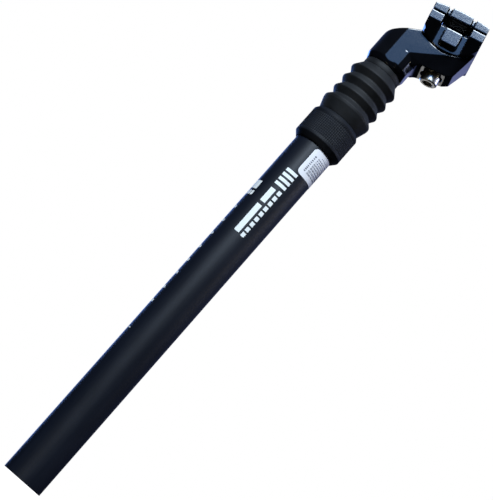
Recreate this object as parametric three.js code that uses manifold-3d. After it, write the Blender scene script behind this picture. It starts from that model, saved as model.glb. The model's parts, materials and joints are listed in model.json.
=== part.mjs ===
// A telescopic suspension seatpost, 27.2 mm across and close to 400 mm long.
// Millimetres. +Z runs up the tube towards the saddle, +X points to the rear of
// the bicycle, and the origin is the centre of the tube's bottom end.
import * as THREE from 'three';
import { mergeVertices } from 'three/addons/utils/BufferGeometryUtils.js';
import { ConvexGeometry } from 'three/addons/geometries/ConvexGeometry.js';
import Module from 'manifold-3d';

const wasm = await Module();
wasm.setup();

// ---- fits ----
const gap = 0.3; // left between two pieces that touch or slide
const reach = 1; // how far a cutting shape runs past the face it cuts
const round = 40; // facets round the big turned pieces
const roundSmall = 24; // facets round the small turned pieces
const roundLarge = 96; // facets round the clamp's tilting surfaces

// ---- outer tube ----
const tubeRadius = 13.6; // a 27.2 mm seatpost
const tubeWall = 1.9;
const tubeTop = 282;
const tubeChamfer = 0.6;

// ---- telescoping leg and its guide ----
const legWall = 2.1;
const travel = 30; // how far the saddle sinks
const bushWall = 1.1;
const bushLength = 32.3; // guide bushing below its flange
const bushFlange = 2.5; // thickness of the flange
const keyLength = 14;
const keyWidth = 3;
const keyDepth = 1; // how deep a key sits in its keyway
const keyCount = 3;
const keyRise = 12; // lower end of a key above the bushing's lower end
const glideLength = 12;
const bumperLength = 7.4; // soft ring that stops the leg at the top
const clipThickness = 1.2;
const clipDepth = 0.6; // how deep the retaining ring sits in the leg
const clipOpening = Math.PI / 3;
const legBelowClip = 0.6;

// ---- knurled collar ----
const collarWall = 3.2; // over the thread of the tube
const collarOverlap = 13.3; // how far it reaches down the tube
const collarLip = 3.9; // height of the lower cone
const collarAboveWiper = 2; // from the wiper seal's top to the collar's top
const collarTopChamfer = 2.2;
const collarTopInset = 1.5; // from the knurl in to the upper edge
const knurlCount = 36;
const knurlDepth = 0.35;
const knurlMargin = 1.6; // plain band above and below the knurl
const ledgeThickness = 2.2;
const wiperWall = 1.6;
const wiperLip = 0.4; // thickness of the seal's upper edge
const wiperHeight = 5.3;

// ---- boot ----
const bootWall = 1.3;
const bootRidgeRise = 2.3; // from a ridge in to the collar's upper edge
const bootWaveDepth = 2.9; // from a ridge in to a groove
const bootConeFlare = 2.7; // from the foot of the boot out to the cone's edge
const bootFootInset = 0.5;
const bootConeHeight = 9.3;
const bootConeToGroove = 3.9;
const bootRidges = 3;
const bootTaper = 6;
const cuffHeight = 4.3;
const cuffWall = 1.1;
const bootSolidHeight = 16.1; // room that the folded boot needs
const waveSteps = 2; // facets from a groove to the next ridge

// ---- spring cartridge and preload screw ----
const springWire = 3;
const springClearance = 1.5; // from the coil to the tube's bore
const springTurns = 12;
const coilSteps = 14; // facets in one turn of wire
const wireFacets = 6; // facets round the wire
const closedPitch = 1.08; // rise of a closed end turn, in thicknesses of wire
const springRoom = 111.6; // between the two seats' faces
const seatFlange = 6;
const seatSpigot = 7.7;
const spigotClearance = 1; // from a spigot to the coil around it
const topSpigot = 11.7;
const topFlange = 3.7;
const topPlug = 10.6; // part of the upper seat inside the leg
const preloadTravel = 8;
const bumpStopInset = 1.2; // from the seat's spigot in to the bump stop
const bumpStopGroove = 1.1;
const bumpStopRidges = 4;
const bumpStopFlat = 0.72; // share of a ridge's height that is full width
const bumpStopSlope = 0.86; // share at which its slope has ended
const plugBottom = 3;
const plugHeight = 12;
const plugHex = 8; // across flats
const plugHexDepth = 8;
const ringWire = 0.75; // O-ring, half its thickness
const ringFromTop = 3.2;
const ringClearance = 0.15; // inside and outside the O-ring
const sleeveWall = 2.7;

// ---- saddle clamp, in a frame tilted with the rails ----
const clampTilt = THREE.MathUtils.degToRad(12);
const tiltLimit = THREE.MathUtils.degToRad(10);
const clampHalfLength = 18.7;
const discRadius = 26; // round underside of the lower clamp
const seatLowX = 22.8; // lowest point of that round, from the tube's axis
const seatLowRise = 29.37; // and above the head's lower rim
const railRadius = 3.5;
const railFit = 0.1;
const railHalfSpacing = 22;
const railDrop = 9.2; // from the tilt axis down to the rails' centres
const lipWall = 1.4; // thinnest wall beside or below a rail
const roofWall = 2.1; // over a rail
const roofArch = 1.8; // how much higher the upper clamp is in the middle
const upperDepth = 1.55; // from the rails' centres up to the upper clamp's walls
const lipDepth = 0.45; // from the rails' centres up to the lower clamp's lips
const spineDepth = 1; // from the rails' centres down to the upper clamp's spine
const pocketDepth = 2.2; // from the rails' centres down to the lower clamp's middle
const spineHalfLength = 9.2;
const spineInset = 3; // from the lower clamp's side in to the spine
const notchFrom = 7; // notches that split the upper clamp's outer walls
const notchTo = 9.5;
const notchDepth = 3.2;
const lipFrom = 9.8; // from the clamp's middle to a lip
const gussetRise = 2.5; // from the bottom of the round up to the gussets
const padHalfLength = 5.6;
const padOverhang = 5;
const padRise = 3.1; // from the bottom of the round up to the pad
const padDrop = 0.4; // from a rail's channel down to the pad
const padCorner = 1.6;

// ---- clamp bolt and nut ----
const boltRadius = 4;
const boltHeadRadius = 5.9;
const boltHeadHeight = 8;
const boltTip = 5.6; // above the tilt axis
const boltHex = 6;
const boltHexDepth = 5.4;
const boltHeadChamfer = 0.7;
const washerThickness = 1.3;
const washerRadius = 6.7;
const nutWall = 2.05;
const nutTop = 2.6; // above the tilt axis
const nutHalfLength = 11;
const seatThickness = 7.7; // head between its round seat and the washer

// ---- head, outline heights from its lower rim ----
const skirtInset = 0.4; // from the boot's cuff out to the head's lower rim
const skirtFlare = 1.6;
const skirtHeight = 3.6;
const rearInset = 1.6; // flat at the back of the neck
const flatInset = 0.55; // flat sides of the neck
const armFlare = 0.35; // how much wider the arm is at its rear end
const cornerX = 6.7; // rear end of the neck's flat sides
const cornerBend = { x: 10.6, y: 12.2 }; // rounded rear corners of the neck
const cornerRear = 7.5; // half the width of the flat at the back
const cornerRise = { low: 1, high: 3.6 }; // where the rear corners swell out
const cornerTaper = 0.9; // their size at the lower end
const spigotHeight = 5.2; // part of the head inside the boot's cuff
const spigotWall = 1.5;
const socketDepth = 17.5;
const shoulderRise = 18; // where the front of the neck turns back
const shoulderEnd = { x: -9, rise: 24.5 };
const hornFront = { x: 3.7, rise: 32.5 }; // front edge of the round seat
const hornRear = { x: 39.5, rise: 40.4 }; // rear edge of the round seat
const chineFront = { x: 6.2, rise: 14.7 }; // lower edge of the flat sides
const chineRear = { x: 39.5, rise: 38.8 };
const armRoot = { x: 8, rise: 9, half: 11 }; // where the keel starts inside the neck
const keelFront = { x: 18.5, rise: 14.9, half: 11.8 };
const keelRear = { x: 33.5, rise: 19.7, half: 9.6 };
const heel = { x: 36.7, rise: 22.5, half: 9.4 };
const heelBend = { x: 36, rise: 20.6 }; // pulls the curve between keel and heel
const armpitRise = 8; // where the curve under the arm meets the neck
const armpitBend = 13.5; // rise of the point that pulls that curve

// Radii that follow from the ones above.
const tubeBore = tubeRadius - tubeWall;
const legRadius = tubeBore - gap - bushWall - gap;
const legBore = legRadius - legWall;
const collarRadius = tubeRadius + gap + collarWall;
const collarTopRadius = collarRadius - collarTopInset;
const wiperRadius = legRadius + gap + wiperWall;
const cupRadius = collarTopRadius - wiperWall;
const bootRidgeRadius = collarTopRadius + bootRidgeRise - bootFootInset;
const bootGrooveRadius = bootRidgeRadius - bootWaveDepth;
const bootBottomRadius = collarTopRadius - bootFootInset;
const bootConeRadius = bootBottomRadius + bootConeFlare;
const headSpigotRadius = legRadius + gap + spigotWall;
const cuffRadius = headSpigotRadius + gap + cuffWall;
const springRadius = tubeBore - springClearance - springWire / 2;
const spigotRadius = springRadius - springWire / 2 - spigotClearance;
const bumpStopRadius = spigotRadius - bumpStopInset;
const skirtRadius = cuffRadius + skirtInset;
const neckRadius = skirtRadius + skirtFlare;
const neckRear = neckRadius - rearInset;
const flatHalfWidth = neckRadius - flatInset;
const flareHalfWidth = flatHalfWidth + armFlare;
const nutRadius = boltRadius + gap + nutWall;

// Heights up the post that follow.
const bushTop = tubeTop + gap + bushFlange;
const bushBottom = tubeTop + gap - bushLength;
const keyBottom = bushBottom + keyRise;
const glideTop = bushBottom - gap - bumperLength - gap;
const glideBottom = glideTop - glideLength;
const clipTop = glideBottom - gap;
const clipBottom = clipTop - clipThickness;
const legBottom = clipBottom - legBelowClip;
const seatTopFace = legBottom - gap - topFlange;
const springSeat = seatTopFace - springRoom;
const seatBase = springSeat - seatFlange;
const plugTop = plugBottom + plugHeight;
const collarBottom = tubeTop - collarOverlap;
const ledgeBottom = bushTop + gap;
const ledgeTop = ledgeBottom + ledgeThickness;
const collarTop = ledgeBottom + wiperHeight + collarAboveWiper;
const bootBottom = collarTop + gap;
const headBottom = collarTop + travel + bootSolidHeight;
const legTop = headBottom + socketDepth - gap;

// Places in the clamp's frame that follow, measured from the tilt axis.
const railHeight = -railDrop;
const railCut = railRadius + railFit;
const clampHalfWidth = railHalfSpacing + railCut + lipWall;
const discHalfWidth = railHalfSpacing - railCut - lipWall;
const upperTopEnd = railHeight + railCut + roofWall;
const upperBottom = railHeight + upperDepth;
const lipTop = railHeight + lipDepth;
const lipBottom = railHeight - railCut - lipWall;
const spineBottom = railHeight - spineDepth;
const spineHalfWidth = discHalfWidth - spineInset;
const pocketTop = railHeight - pocketDepth;
const gussetBottom = gussetRise - discRadius;
const padTop = railHeight - railCut - padDrop;
const padBottom = padRise - discRadius;
const padHalfWidth = discHalfWidth + padOverhang;
const seatFloor = -(discRadius + gap + seatThickness);
const bearingFace = seatFloor - gap - washerThickness - gap;
const boltFace = bearingFace - boltHeadHeight;
const pivotX = seatLowX - discRadius * Math.sin(clampTilt);
const pivotZ = headBottom + seatLowRise + discRadius * Math.cos(clampTilt);

// ---- building blocks ----

// Merges equal corners, drops empty triangles and makes the faces point outwards.
function closed(geometry) {
  const bare = new THREE.BufferGeometry();
  bare.setAttribute('position', geometry.getAttribute('position').clone());
  if (geometry.index) {
    bare.setIndex(geometry.index.clone());
  }
  const merged = mergeVertices(bare, 1e-4);
  const position = merged.getAttribute('position');
  const source = merged.index.array;
  const kept = [];
  for (let i = 0; i < source.length; i += 3) {
    const [a, b, c] = [source[i], source[i + 1], source[i + 2]];
    if (a !== b && b !== c && c !== a) {
      kept.push(a, b, c);
    }
  }
  const corner = [new THREE.Vector3(), new THREE.Vector3(), new THREE.Vector3()];
  let volume = 0;
  for (let i = 0; i < kept.length; i += 3) {
    corner.forEach((point, k) => point.fromBufferAttribute(position, kept[i + k]));
    volume += corner[0].dot(corner[1].clone().cross(corner[2]));
  }
  if (volume < 0) {
    kept.reverse();
  }
  merged.setIndex(kept);
  return merged;
}

function toSolid(geometry) {
  const clean = closed(geometry);
  const mesh = new wasm.Mesh({
    numProp: 3,
    vertProperties: new Float32Array(clean.getAttribute('position').array),
    triVerts: new Uint32Array(clean.index.array),
  });
  return new wasm.Manifold(mesh);
}

function toGeometry(solid) {
  const mesh = solid.getMesh();
  const geometry = new THREE.BufferGeometry();
  geometry.setAttribute('position', new THREE.BufferAttribute(mesh.vertProperties, 3));
  geometry.setIndex(new THREE.BufferAttribute(mesh.triVerts, 1));
  return geometry;
}

// Adds the first shapes together and takes the others away.
function carve(added, removed) {
  const whole = added.map(toSolid).reduce((sum, solid) => sum.add(solid));
  const cut = removed.map(toSolid).reduce((rest, solid) => rest.subtract(solid), whole);
  return toGeometry(cut);
}

function overlap(first, second) {
  return toGeometry(toSolid(first).intersect(toSolid(second)));
}

// Turns a list of [radius, height] pairs about the Z axis.
function turned(profile, facets = round) {
  const points = profile.map(([radius, height]) => new THREE.Vector2(radius, height));
  const geometry = new THREE.LatheGeometry(points, facets);
  geometry.rotateX(Math.PI / 2);
  return geometry;
}

function rod(radius, bottom, top, facets = roundSmall) {
  return turned([[0, bottom], [radius, bottom], [radius, top], [0, top]], facets);
}

function ring(inner, outer, bottom, top, facets = round) {
  const profile = [[inner, bottom], [outer, bottom], [outer, top], [inner, top], [inner, bottom]];
  return turned(profile, facets);
}

function block(x0, x1, y0, y1, z0, z1) {
  const geometry = new THREE.BoxGeometry(x1 - x0, y1 - y0, z1 - z0);
  geometry.translate((x0 + x1) / 2, (y0 + y1) / 2, (z0 + z1) / 2);
  return geometry;
}

// Pushes an outline drawn in X and Z from one Y to another.
function pushedAlongY(shape, y0, y1, curveSegments = 12) {
  const settings = { depth: y1 - y0, bevelEnabled: false, curveSegments };
  const geometry = new THREE.ExtrudeGeometry(shape, settings);
  geometry.rotateX(Math.PI / 2);
  geometry.translate(0, y1, 0);
  return geometry;
}

// Pushes an outline drawn in Y and Z from one X to another.
function pushedAlongX(shape, x0, x1) {
  const geometry = new THREE.ExtrudeGeometry(shape, { depth: x1 - x0, bevelEnabled: false });
  geometry.rotateX(Math.PI / 2);
  geometry.rotateZ(Math.PI / 2);
  geometry.translate(x0, 0, 0);
  return geometry;
}

// Pushes an outline drawn in X and Y upwards.
function pushedAlongZ(shape, z0, z1, curveSegments = 8) {
  const settings = { depth: z1 - z0, bevelEnabled: false, curveSegments };
  const geometry = new THREE.ExtrudeGeometry(shape, settings);
  geometry.translate(0, 0, z0);
  return geometry;
}

function polygon(points) {
  return new THREE.Shape(points.map(([a, b]) => new THREE.Vector2(a, b)));
}

function hexPrism(acrossFlats, bottom, top) {
  const corners = [];
  for (let k = 0; k < 6; k += 1) {
    const angle = (k * Math.PI) / 3;
    const radius = acrossFlats / Math.sqrt(3);
    corners.push([radius * Math.cos(angle), radius * Math.sin(angle)]);
  }
  return pushedAlongZ(polygon(corners), bottom, top);
}

// A rounded slot along X, open along Z.
function slotPrism(halfLength, radius, bottom, top) {
  const straight = halfLength - radius;
  const shape = new THREE.Shape();
  shape.moveTo(-straight, -radius);
  shape.lineTo(straight, -radius);
  shape.absarc(straight, 0, radius, -Math.PI / 2, Math.PI / 2, false);
  shape.lineTo(-straight, radius);
  shape.absarc(-straight, 0, radius, Math.PI / 2, (3 * Math.PI) / 2, false);
  return pushedAlongZ(shape, bottom, top);
}

// Moves a shape from the clamp's own frame into the post's frame.
function inClampFrame(geometry) {
  geometry.rotateY(-clampTilt);
  geometry.translate(pivotX, 0, pivotZ);
  return geometry;
}

// A cylinder lying along Y in the clamp's frame, centred on the tilt axis.
function tiltCylinder(radius, halfWidth, facets) {
  const geometry = rod(radius, -halfWidth, halfWidth, facets);
  geometry.rotateX(Math.PI / 2);
  return geometry;
}

function aroundPost(geometry, index, count) {
  geometry.rotateZ((index * 2 * Math.PI) / count);
  return geometry;
}

// ---- outer tube group ----

function outerTube() {
  return turned([
    [tubeBore, 0],
    [tubeRadius - tubeChamfer, 0],
    [tubeRadius, tubeChamfer],
    [tubeRadius, tubeTop],
    [tubeBore, tubeTop],
    [tubeBore, 0],
  ]);
}

function collarNut() {
  const bore = tubeRadius + gap;
  const knurlLow = collarBottom + collarLip + knurlMargin;
  const knurlHigh = collarTop - collarTopChamfer - knurlMargin;
  const geometry = turned([
    [bore, collarBottom],
    [collarRadius, collarBottom + collarLip],
    [collarRadius, knurlLow],
    [collarRadius - knurlDepth / 2, knurlLow + knurlDepth],
    [collarRadius - knurlDepth / 2, knurlHigh - knurlDepth],
    [collarRadius, knurlHigh],
    [collarRadius, collarTop - collarTopChamfer],
    [collarTopRadius, collarTop],
    [cupRadius, collarTop],
    [cupRadius, ledgeTop],
    [wiperRadius + gap, ledgeTop],
    [wiperRadius + gap, ledgeBottom],
    [bore, ledgeBottom],
    [bore, collarBottom],
  ], knurlCount * 2);
  // Every other line of corners in the knurled band is pressed in.
  const position = geometry.getAttribute('position');
  const step = Math.PI / knurlCount;
  for (let i = 0; i < position.count; i += 1) {
    const [x, y, z] = [position.getX(i), position.getY(i), position.getZ(i)];
    const radius = Math.hypot(x, y);
    const line = Math.round(Math.atan2(y, x) / step + 2 * knurlCount);
    const inBand = z > knurlLow + knurlDepth / 2 && z < knurlHigh - knurlDepth / 2;
    if (inBand && radius > bore + gap && line % 2 === 0) {
      const scale = (radius - knurlDepth) / radius;
      position.setXY(i, x * scale, y * scale);
    }
  }
  return geometry;
}

function guideBushing() {
  const bore = legRadius + gap;
  const outside = tubeBore - gap;
  const body = turned([
    [bore, bushBottom],
    [outside, bushBottom],
    [outside, tubeTop + gap],
    [tubeRadius, tubeTop + gap],
    [tubeRadius, bushTop],
    [bore, bushTop],
    [bore, bushBottom],
  ]);
  const windows = [];
  for (let k = 0; k < keyCount; k += 1) {
    const half = keyWidth / 2 + gap;
    const [low, high] = [keyBottom - gap, keyBottom + keyLength + gap];
    const cutter = block(legBore, outside + reach, -half, half, low, high);
    windows.push(aroundPost(cutter, k, keyCount));
  }
  return carve([body], windows);
}

function guideKey(index) {
  const inside = legRadius - keyDepth + gap;
  const outside = tubeBore - 2 * gap;
  const half = keyWidth / 2;
  const key = block(inside, outside, -half, half, keyBottom, keyBottom + keyLength);
  return aroundPost(key, index, keyCount);
}

function wiperSeal() {
  const inside = legRadius + gap;
  const top = ledgeBottom + wiperHeight;
  const lip = inside + wiperLip;
  return turned([
    [inside, ledgeBottom],
    [wiperRadius, ledgeBottom],
    [wiperRadius, ledgeTop + wiperWall / 2],
    [lip, top],
    [inside, top],
    [inside, ledgeBottom],
  ]);
}

// Heights and radii of the boot's outside from the first groove to the last ridge.
function bootWaves() {
  const points = [];
  const start = bootBottom + bootConeHeight + bootConeToGroove;
  const middle = (bootRidgeRadius + bootGrooveRadius) / 2;
  const swing = (bootRidgeRadius - bootGrooveRadius) / 2;
  const end = headBottom - gap - cuffHeight - bootTaper;
  const facets = (bootRidges * 2 - 1) * waveSteps;
  for (let k = 0; k <= facets; k += 1) {
    const turn = (k / waveSteps) * Math.PI;
    points.push([middle - swing * Math.cos(turn), start + ((end - start) * k) / facets]);
  }
  return points;
}

function boot() {
  const beadOutside = cupRadius - gap;
  const beadInside = wiperRadius + 2 * gap;
  const cuffBore = headSpigotRadius + gap;
  const waves = bootWaves();
  const cuffTop = headBottom - gap;
  const cuffBottom = cuffTop - cuffHeight;
  const outside = [
    [beadOutside, ledgeTop + gap],
    [beadOutside, bootBottom],
    [bootBottomRadius, bootBottom],
    [bootConeRadius - gap, bootBottom + bootConeHeight - bootWall],
    [bootConeRadius, bootBottom + bootConeHeight],
    ...waves,
    [cuffRadius, cuffBottom],
    [cuffRadius, cuffTop],
  ];
  const inside = [
    [cuffBore, cuffTop],
    [cuffBore, cuffBottom - bootWall],
    ...waves.map(([radius, height]) => [radius - bootWall, height]).reverse(),
    [bootConeRadius - bootWall, bootBottom + bootConeHeight],
    [bootBottomRadius - bootWall, bootBottom + bootWall],
    [beadInside, bootBottom],
    [beadInside, ledgeTop + gap],
    [beadOutside, ledgeTop + gap],
  ];
  return turned([...outside, ...inside]);
}

// ---- spring cartridge ----

// The middle line of a coil spring whose end turns lie closed.
class CoilLine extends THREE.Curve {
  constructor(radius, bottom, top, turns, wire) {
    super();
    this.radius = radius;
    this.bottom = bottom;
    this.top = top;
    this.turns = turns;
    this.closedRise = wire * closedPitch;
  }

  getPoint(t, target = new THREE.Vector3()) {
    const turn = t * this.turns;
    const openTurns = this.turns - 2;
    const openRise = this.top - this.bottom - 2 * this.closedRise;
    const inOpen = THREE.MathUtils.clamp(turn - 1, 0, openTurns) / openTurns;
    const inEnds = Math.min(turn, 1) + Math.max(turn - 1 - openTurns, 0);
    const height = this.bottom + this.closedRise * inEnds + openRise * inOpen;
    const angle = turn * 2 * Math.PI;
    return target.set(this.radius * Math.cos(angle), this.radius * Math.sin(angle), height);
  }
}

function mainSpring() {
  const half = springWire / 2;
  const line = new CoilLine(
    springRadius,
    springSeat + gap + half,
    seatTopFace - gap - half,
    springTurns,
    springWire,
  );
  const section = new THREE.Shape();
  section.absarc(0, 0, half, 0, 2 * Math.PI, false);
  return new THREE.ExtrudeGeometry(section, {
    steps: springTurns * coilSteps,
    curveSegments: wireFacets / 2,
    bevelEnabled: false,
    extrudePath: line,
  });
}

function preloadPlug() {
  const outside = tubeBore - gap;
  const grooveMiddle = plugTop - ringFromTop;
  const grooveHalf = ringWire + gap;
  const grooveFloor = outside - 2 * ringWire;
  const body = turned([
    [0, plugBottom],
    [outside - tubeChamfer, plugBottom],
    [outside, plugBottom + tubeChamfer],
    [outside, grooveMiddle - grooveHalf],
    [grooveFloor, grooveMiddle - grooveHalf],
    [grooveFloor, grooveMiddle + grooveHalf],
    [outside, grooveMiddle + grooveHalf],
    [outside, plugTop],
    [0, plugTop],
  ]);
  return carve([body], [hexPrism(plugHex, plugBottom - reach, plugBottom + plugHexDepth)]);
}

function plugRing() {
  const inside = tubeBore - gap - 2 * ringWire + ringClearance;
  const geometry = new THREE.TorusGeometry(inside + ringWire, ringWire, 6, round);
  geometry.translate(0, 0, plugTop - ringFromTop);
  return geometry;
}

function spacerSleeve() {
  const outside = tubeBore - gap;
  return ring(outside - sleeveWall, outside, plugTop + gap, seatBase - gap);
}

function lowerSpringSeat() {
  return turned([
    [0, seatBase],
    [tubeBore - gap, seatBase],
    [tubeBore - gap, springSeat],
    [spigotRadius, springSeat],
    [spigotRadius, springSeat + seatSpigot - gap],
    [spigotRadius - gap, springSeat + seatSpigot],
    [0, springSeat + seatSpigot],
  ]);
}

function bumpStop() {
  const bottom = springSeat + seatSpigot + gap;
  const top = seatTopFace - topSpigot - travel - preloadTravel - gap;
  const ridges = [[0, bottom]];
  const pitch = (top - bottom) / bumpStopRidges;
  const waist = bumpStopRadius - bumpStopGroove;
  for (let k = 0; k < bumpStopRidges; k += 1) {
    const low = bottom + k * pitch;
    ridges.push([bumpStopRadius, low]);
    ridges.push([bumpStopRadius, low + pitch * bumpStopFlat]);
    ridges.push([waist, low + pitch * bumpStopSlope]);
  }
  ridges.push([waist, top]);
  ridges.push([0, top]);
  return turned(ridges, roundSmall);
}

function upperSpringSeat() {
  return turned([
    [0, seatTopFace - topSpigot],
    [spigotRadius - gap, seatTopFace - topSpigot],
    [spigotRadius, seatTopFace - topSpigot + gap],
    [spigotRadius, seatTopFace],
    [legRadius - gap, seatTopFace],
    [legRadius - gap, legBottom - gap],
    [legBore - gap, legBottom - gap],
    [legBore - gap, legBottom + topPlug],
    [0, legBottom + topPlug],
  ]);
}

// ---- telescoping leg group ----

function innerTube() {
  const grooveFloor = legRadius - clipDepth;
  const body = turned([
    [legBore, legBottom],
    [legRadius, legBottom],
    [legRadius, clipBottom - gap / 2],
    [grooveFloor, clipBottom - gap / 2],
    [grooveFloor, clipTop + gap / 2],
    [legRadius, clipTop + gap / 2],
    [legRadius, legTop],
    [legBore, legTop],
    [legBore, legBottom],
  ]);
  const keyways = [];
  const half = keyWidth / 2 + gap;
  for (let k = 0; k < keyCount; k += 1) {
    const [low, high] = [keyBottom - gap, keyBottom + keyLength + travel + gap];
    const cutter = block(legRadius - keyDepth, legRadius + reach, -half, half, low, high);
    keyways.push(aroundPost(cutter, k, keyCount));
  }
  return carve([body], keyways);
}

function retainingRing() {
  const inside = legRadius - clipDepth + gap;
  const outside = tubeBore - gap - gap;
  const shape = new THREE.Shape();
  const [from, to] = [clipOpening / 2, 2 * Math.PI - clipOpening / 2];
  shape.moveTo(inside * Math.cos(from), inside * Math.sin(from));
  shape.lineTo(outside * Math.cos(from), outside * Math.sin(from));
  shape.absarc(0, 0, outside, from, to, false);
  shape.lineTo(inside * Math.cos(to), inside * Math.sin(to));
  shape.absarc(0, 0, inside, to, from, true);
  return pushedAlongZ(shape, clipBottom, clipTop, round / 2);
}

function glideRing() {
  return ring(legRadius + gap, tubeBore - gap, glideBottom, glideTop);
}

function topoutBumper() {
  const bottom = glideTop + gap;
  return ring(legRadius + gap, tubeBore - 2 * gap, bottom, bottom + bumperLength);
}

// The height of an outline point that is measured from the head's lower rim.
function up(point) {
  return headBottom + point.rise;
}

// Side view of the head: neck, front shoulder, round seat, heel and keel.
function headOutline() {
  const shape = new THREE.Shape();
  const shoulder = headBottom + shoulderRise;
  const slope = (hornFront.rise - shoulderEnd.rise) / (hornFront.x - shoulderEnd.x);
  const bend = (shoulderEnd.x + neckRadius) / 2;
  shape.moveTo(-neckRadius, headBottom);
  shape.lineTo(-neckRadius, shoulder);
  shape.bezierCurveTo(
    -neckRadius,
    shoulder + bend,
    shoulderEnd.x - bend,
    up(shoulderEnd) - bend * slope,
    shoulderEnd.x,
    up(shoulderEnd),
  );
  shape.lineTo(hornFront.x, up(hornFront));
  shape.lineTo(pivotX, pivotZ);
  shape.lineTo(hornRear.x, up(hornRear));
  shape.lineTo(heel.x, up(heel));
  shape.quadraticCurveTo(heelBend.x, up(heelBend), keelRear.x, up(keelRear));
  shape.lineTo(keelFront.x, up(keelFront));
  shape.quadraticCurveTo(neckRear, headBottom + armpitBend, neckRear, headBottom + armpitRise);
  shape.lineTo(neckRear, headBottom);
  return shape;
}

// The arm: flat sides above, narrowing to a keel below.
function armHull() {
  const corners = [];
  const add = (x, z, halfWidth) => {
    corners.push(new THREE.Vector3(x, halfWidth, z));
    corners.push(new THREE.Vector3(x, -halfWidth, z));
  };
  add(0, headBottom + shoulderRise, flatHalfWidth);
  add(chineFront.x, up(chineFront), flatHalfWidth);
  add(chineRear.x, up(chineRear), flareHalfWidth);
  for (const point of [armRoot, keelFront, keelRear, heel]) {
    add(point.x, up(point), point.half);
  }
  add(hornRear.x, up(hornRear) + reach, flareHalfWidth);
  add(hornFront.x, up(hornRear), flatHalfWidth);
  return new ConvexGeometry(corners);
}

// The fuller rear corners of the neck, behind its flat sides.
function neckCorners() {
  const section = [
    [0, flatHalfWidth],
    [cornerX, flatHalfWidth],
    [cornerBend.x, cornerBend.y],
    [neckRear, cornerRear],
  ];
  const corners = [];
  const rows = [[cornerRise.low, cornerTaper], [cornerRise.high, 1], [chineFront.rise, 1]];
  for (const [rise, size] of rows) {
    for (const [x, y] of section) {
      corners.push(new THREE.Vector3(x * size, y * size, headBottom + rise));
      corners.push(new THREE.Vector3(x * size, -y * size, headBottom + rise));
    }
  }
  return new ConvexGeometry(corners);
}

function head() {
  const neckTop = up(hornFront) + reach;
  const neck = turned([
    [0, headBottom],
    [skirtRadius, headBottom],
    [neckRadius, headBottom + skirtHeight],
    [neckRadius, neckTop],
    [0, neckTop],
  ]);
  const front = -neckRadius - reach;
  const flats = block(front, neckRadius, -flatHalfWidth, flatHalfWidth, headBottom, neckTop);
  const sides = carve([overlap(neck, flats), armHull(), neckCorners()], []);
  const widest = flareHalfWidth + reach;
  const body = overlap(sides, pushedAlongY(headOutline(), -widest, widest));
  const spigotLow = headBottom - spigotHeight;
  const spigot = rod(headSpigotRadius, spigotLow, headBottom + reach, round);
  const socket = rod(legRadius + gap, spigotLow - reach, headBottom + socketDepth, round);
  const seat = inClampFrame(tiltCylinder(discRadius + gap, widest + reach, roundLarge));
  const hole = inClampFrame(rod(boltRadius + gap, seatFloor - reach, 0));
  const recess = inClampFrame(rod(washerRadius + gap, boltFace - boltHeadHeight, seatFloor));
  return carve([body, spigot], [socket, seat, hole, recess]);
}

// ---- saddle clamp group ----

function railCutters() {
  const cutters = [];
  for (const side of [-1, 1]) {
    const cutter = rod(railCut, -clampHalfLength - reach, clampHalfLength + reach);
    cutter.rotateY(Math.PI / 2);
    cutter.translate(0, side * railHalfSpacing, railHeight);
    cutters.push(cutter);
  }
  return cutters;
}

// A lip with its sloping gusset, seen along the rails.
function lipOutline() {
  return polygon([
    [-clampHalfWidth, lipTop],
    [clampHalfWidth, lipTop],
    [clampHalfWidth, lipBottom],
    [discHalfWidth, gussetBottom],
    [-discHalfWidth, gussetBottom],
    [-clampHalfWidth, lipBottom],
  ]);
}

function padOutline() {
  const shape = new THREE.Shape();
  shape.moveTo(-padHalfLength, padTop);
  shape.lineTo(-padHalfLength, padBottom + padCorner);
  shape.quadraticCurveTo(-padHalfLength, padBottom, -padHalfLength + padCorner, padBottom);
  shape.lineTo(padHalfLength - padCorner, padBottom);
  shape.quadraticCurveTo(padHalfLength, padBottom, padHalfLength, padBottom + padCorner);
  shape.lineTo(padHalfLength, padTop);
  return shape;
}

function lowerClamp() {
  const inside = discHalfWidth - reach;
  const disc = overlap(
    tiltCylinder(discRadius, discHalfWidth, roundLarge),
    block(-clampHalfLength, clampHalfLength, -discHalfWidth, discHalfWidth, -discRadius, pocketTop),
  );
  const lips = [
    pushedAlongX(lipOutline(), -clampHalfLength, -lipFrom),
    pushedAlongX(lipOutline(), lipFrom, clampHalfLength),
  ];
  const wide = tiltCylinder(discRadius, clampHalfWidth + reach, roundLarge);
  const wings = lips.map((lip) => overlap(lip, wide));
  const pads = [
    pushedAlongY(padOutline(), inside, padHalfWidth),
    pushedAlongY(padOutline(), -padHalfWidth, -inside),
  ];
  const slotHalf = discRadius * Math.tan(tiltLimit) + boltRadius + gap;
  const slot = slotPrism(slotHalf, boltRadius + gap, -discRadius - reach, 0);
  return inClampFrame(carve([disc, ...wings, ...pads], [...railCutters(), slot]));
}

// Side view of the upper clamp, a little higher in the middle.
function upperOutline() {
  const shape = new THREE.Shape();
  shape.moveTo(-clampHalfLength, upperBottom);
  shape.lineTo(-clampHalfLength, upperTopEnd);
  const peak = upperTopEnd + 2 * roofArch;
  shape.quadraticCurveTo(0, peak, clampHalfLength, upperTopEnd);
  shape.lineTo(clampHalfLength, upperBottom);
  return shape;
}

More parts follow.
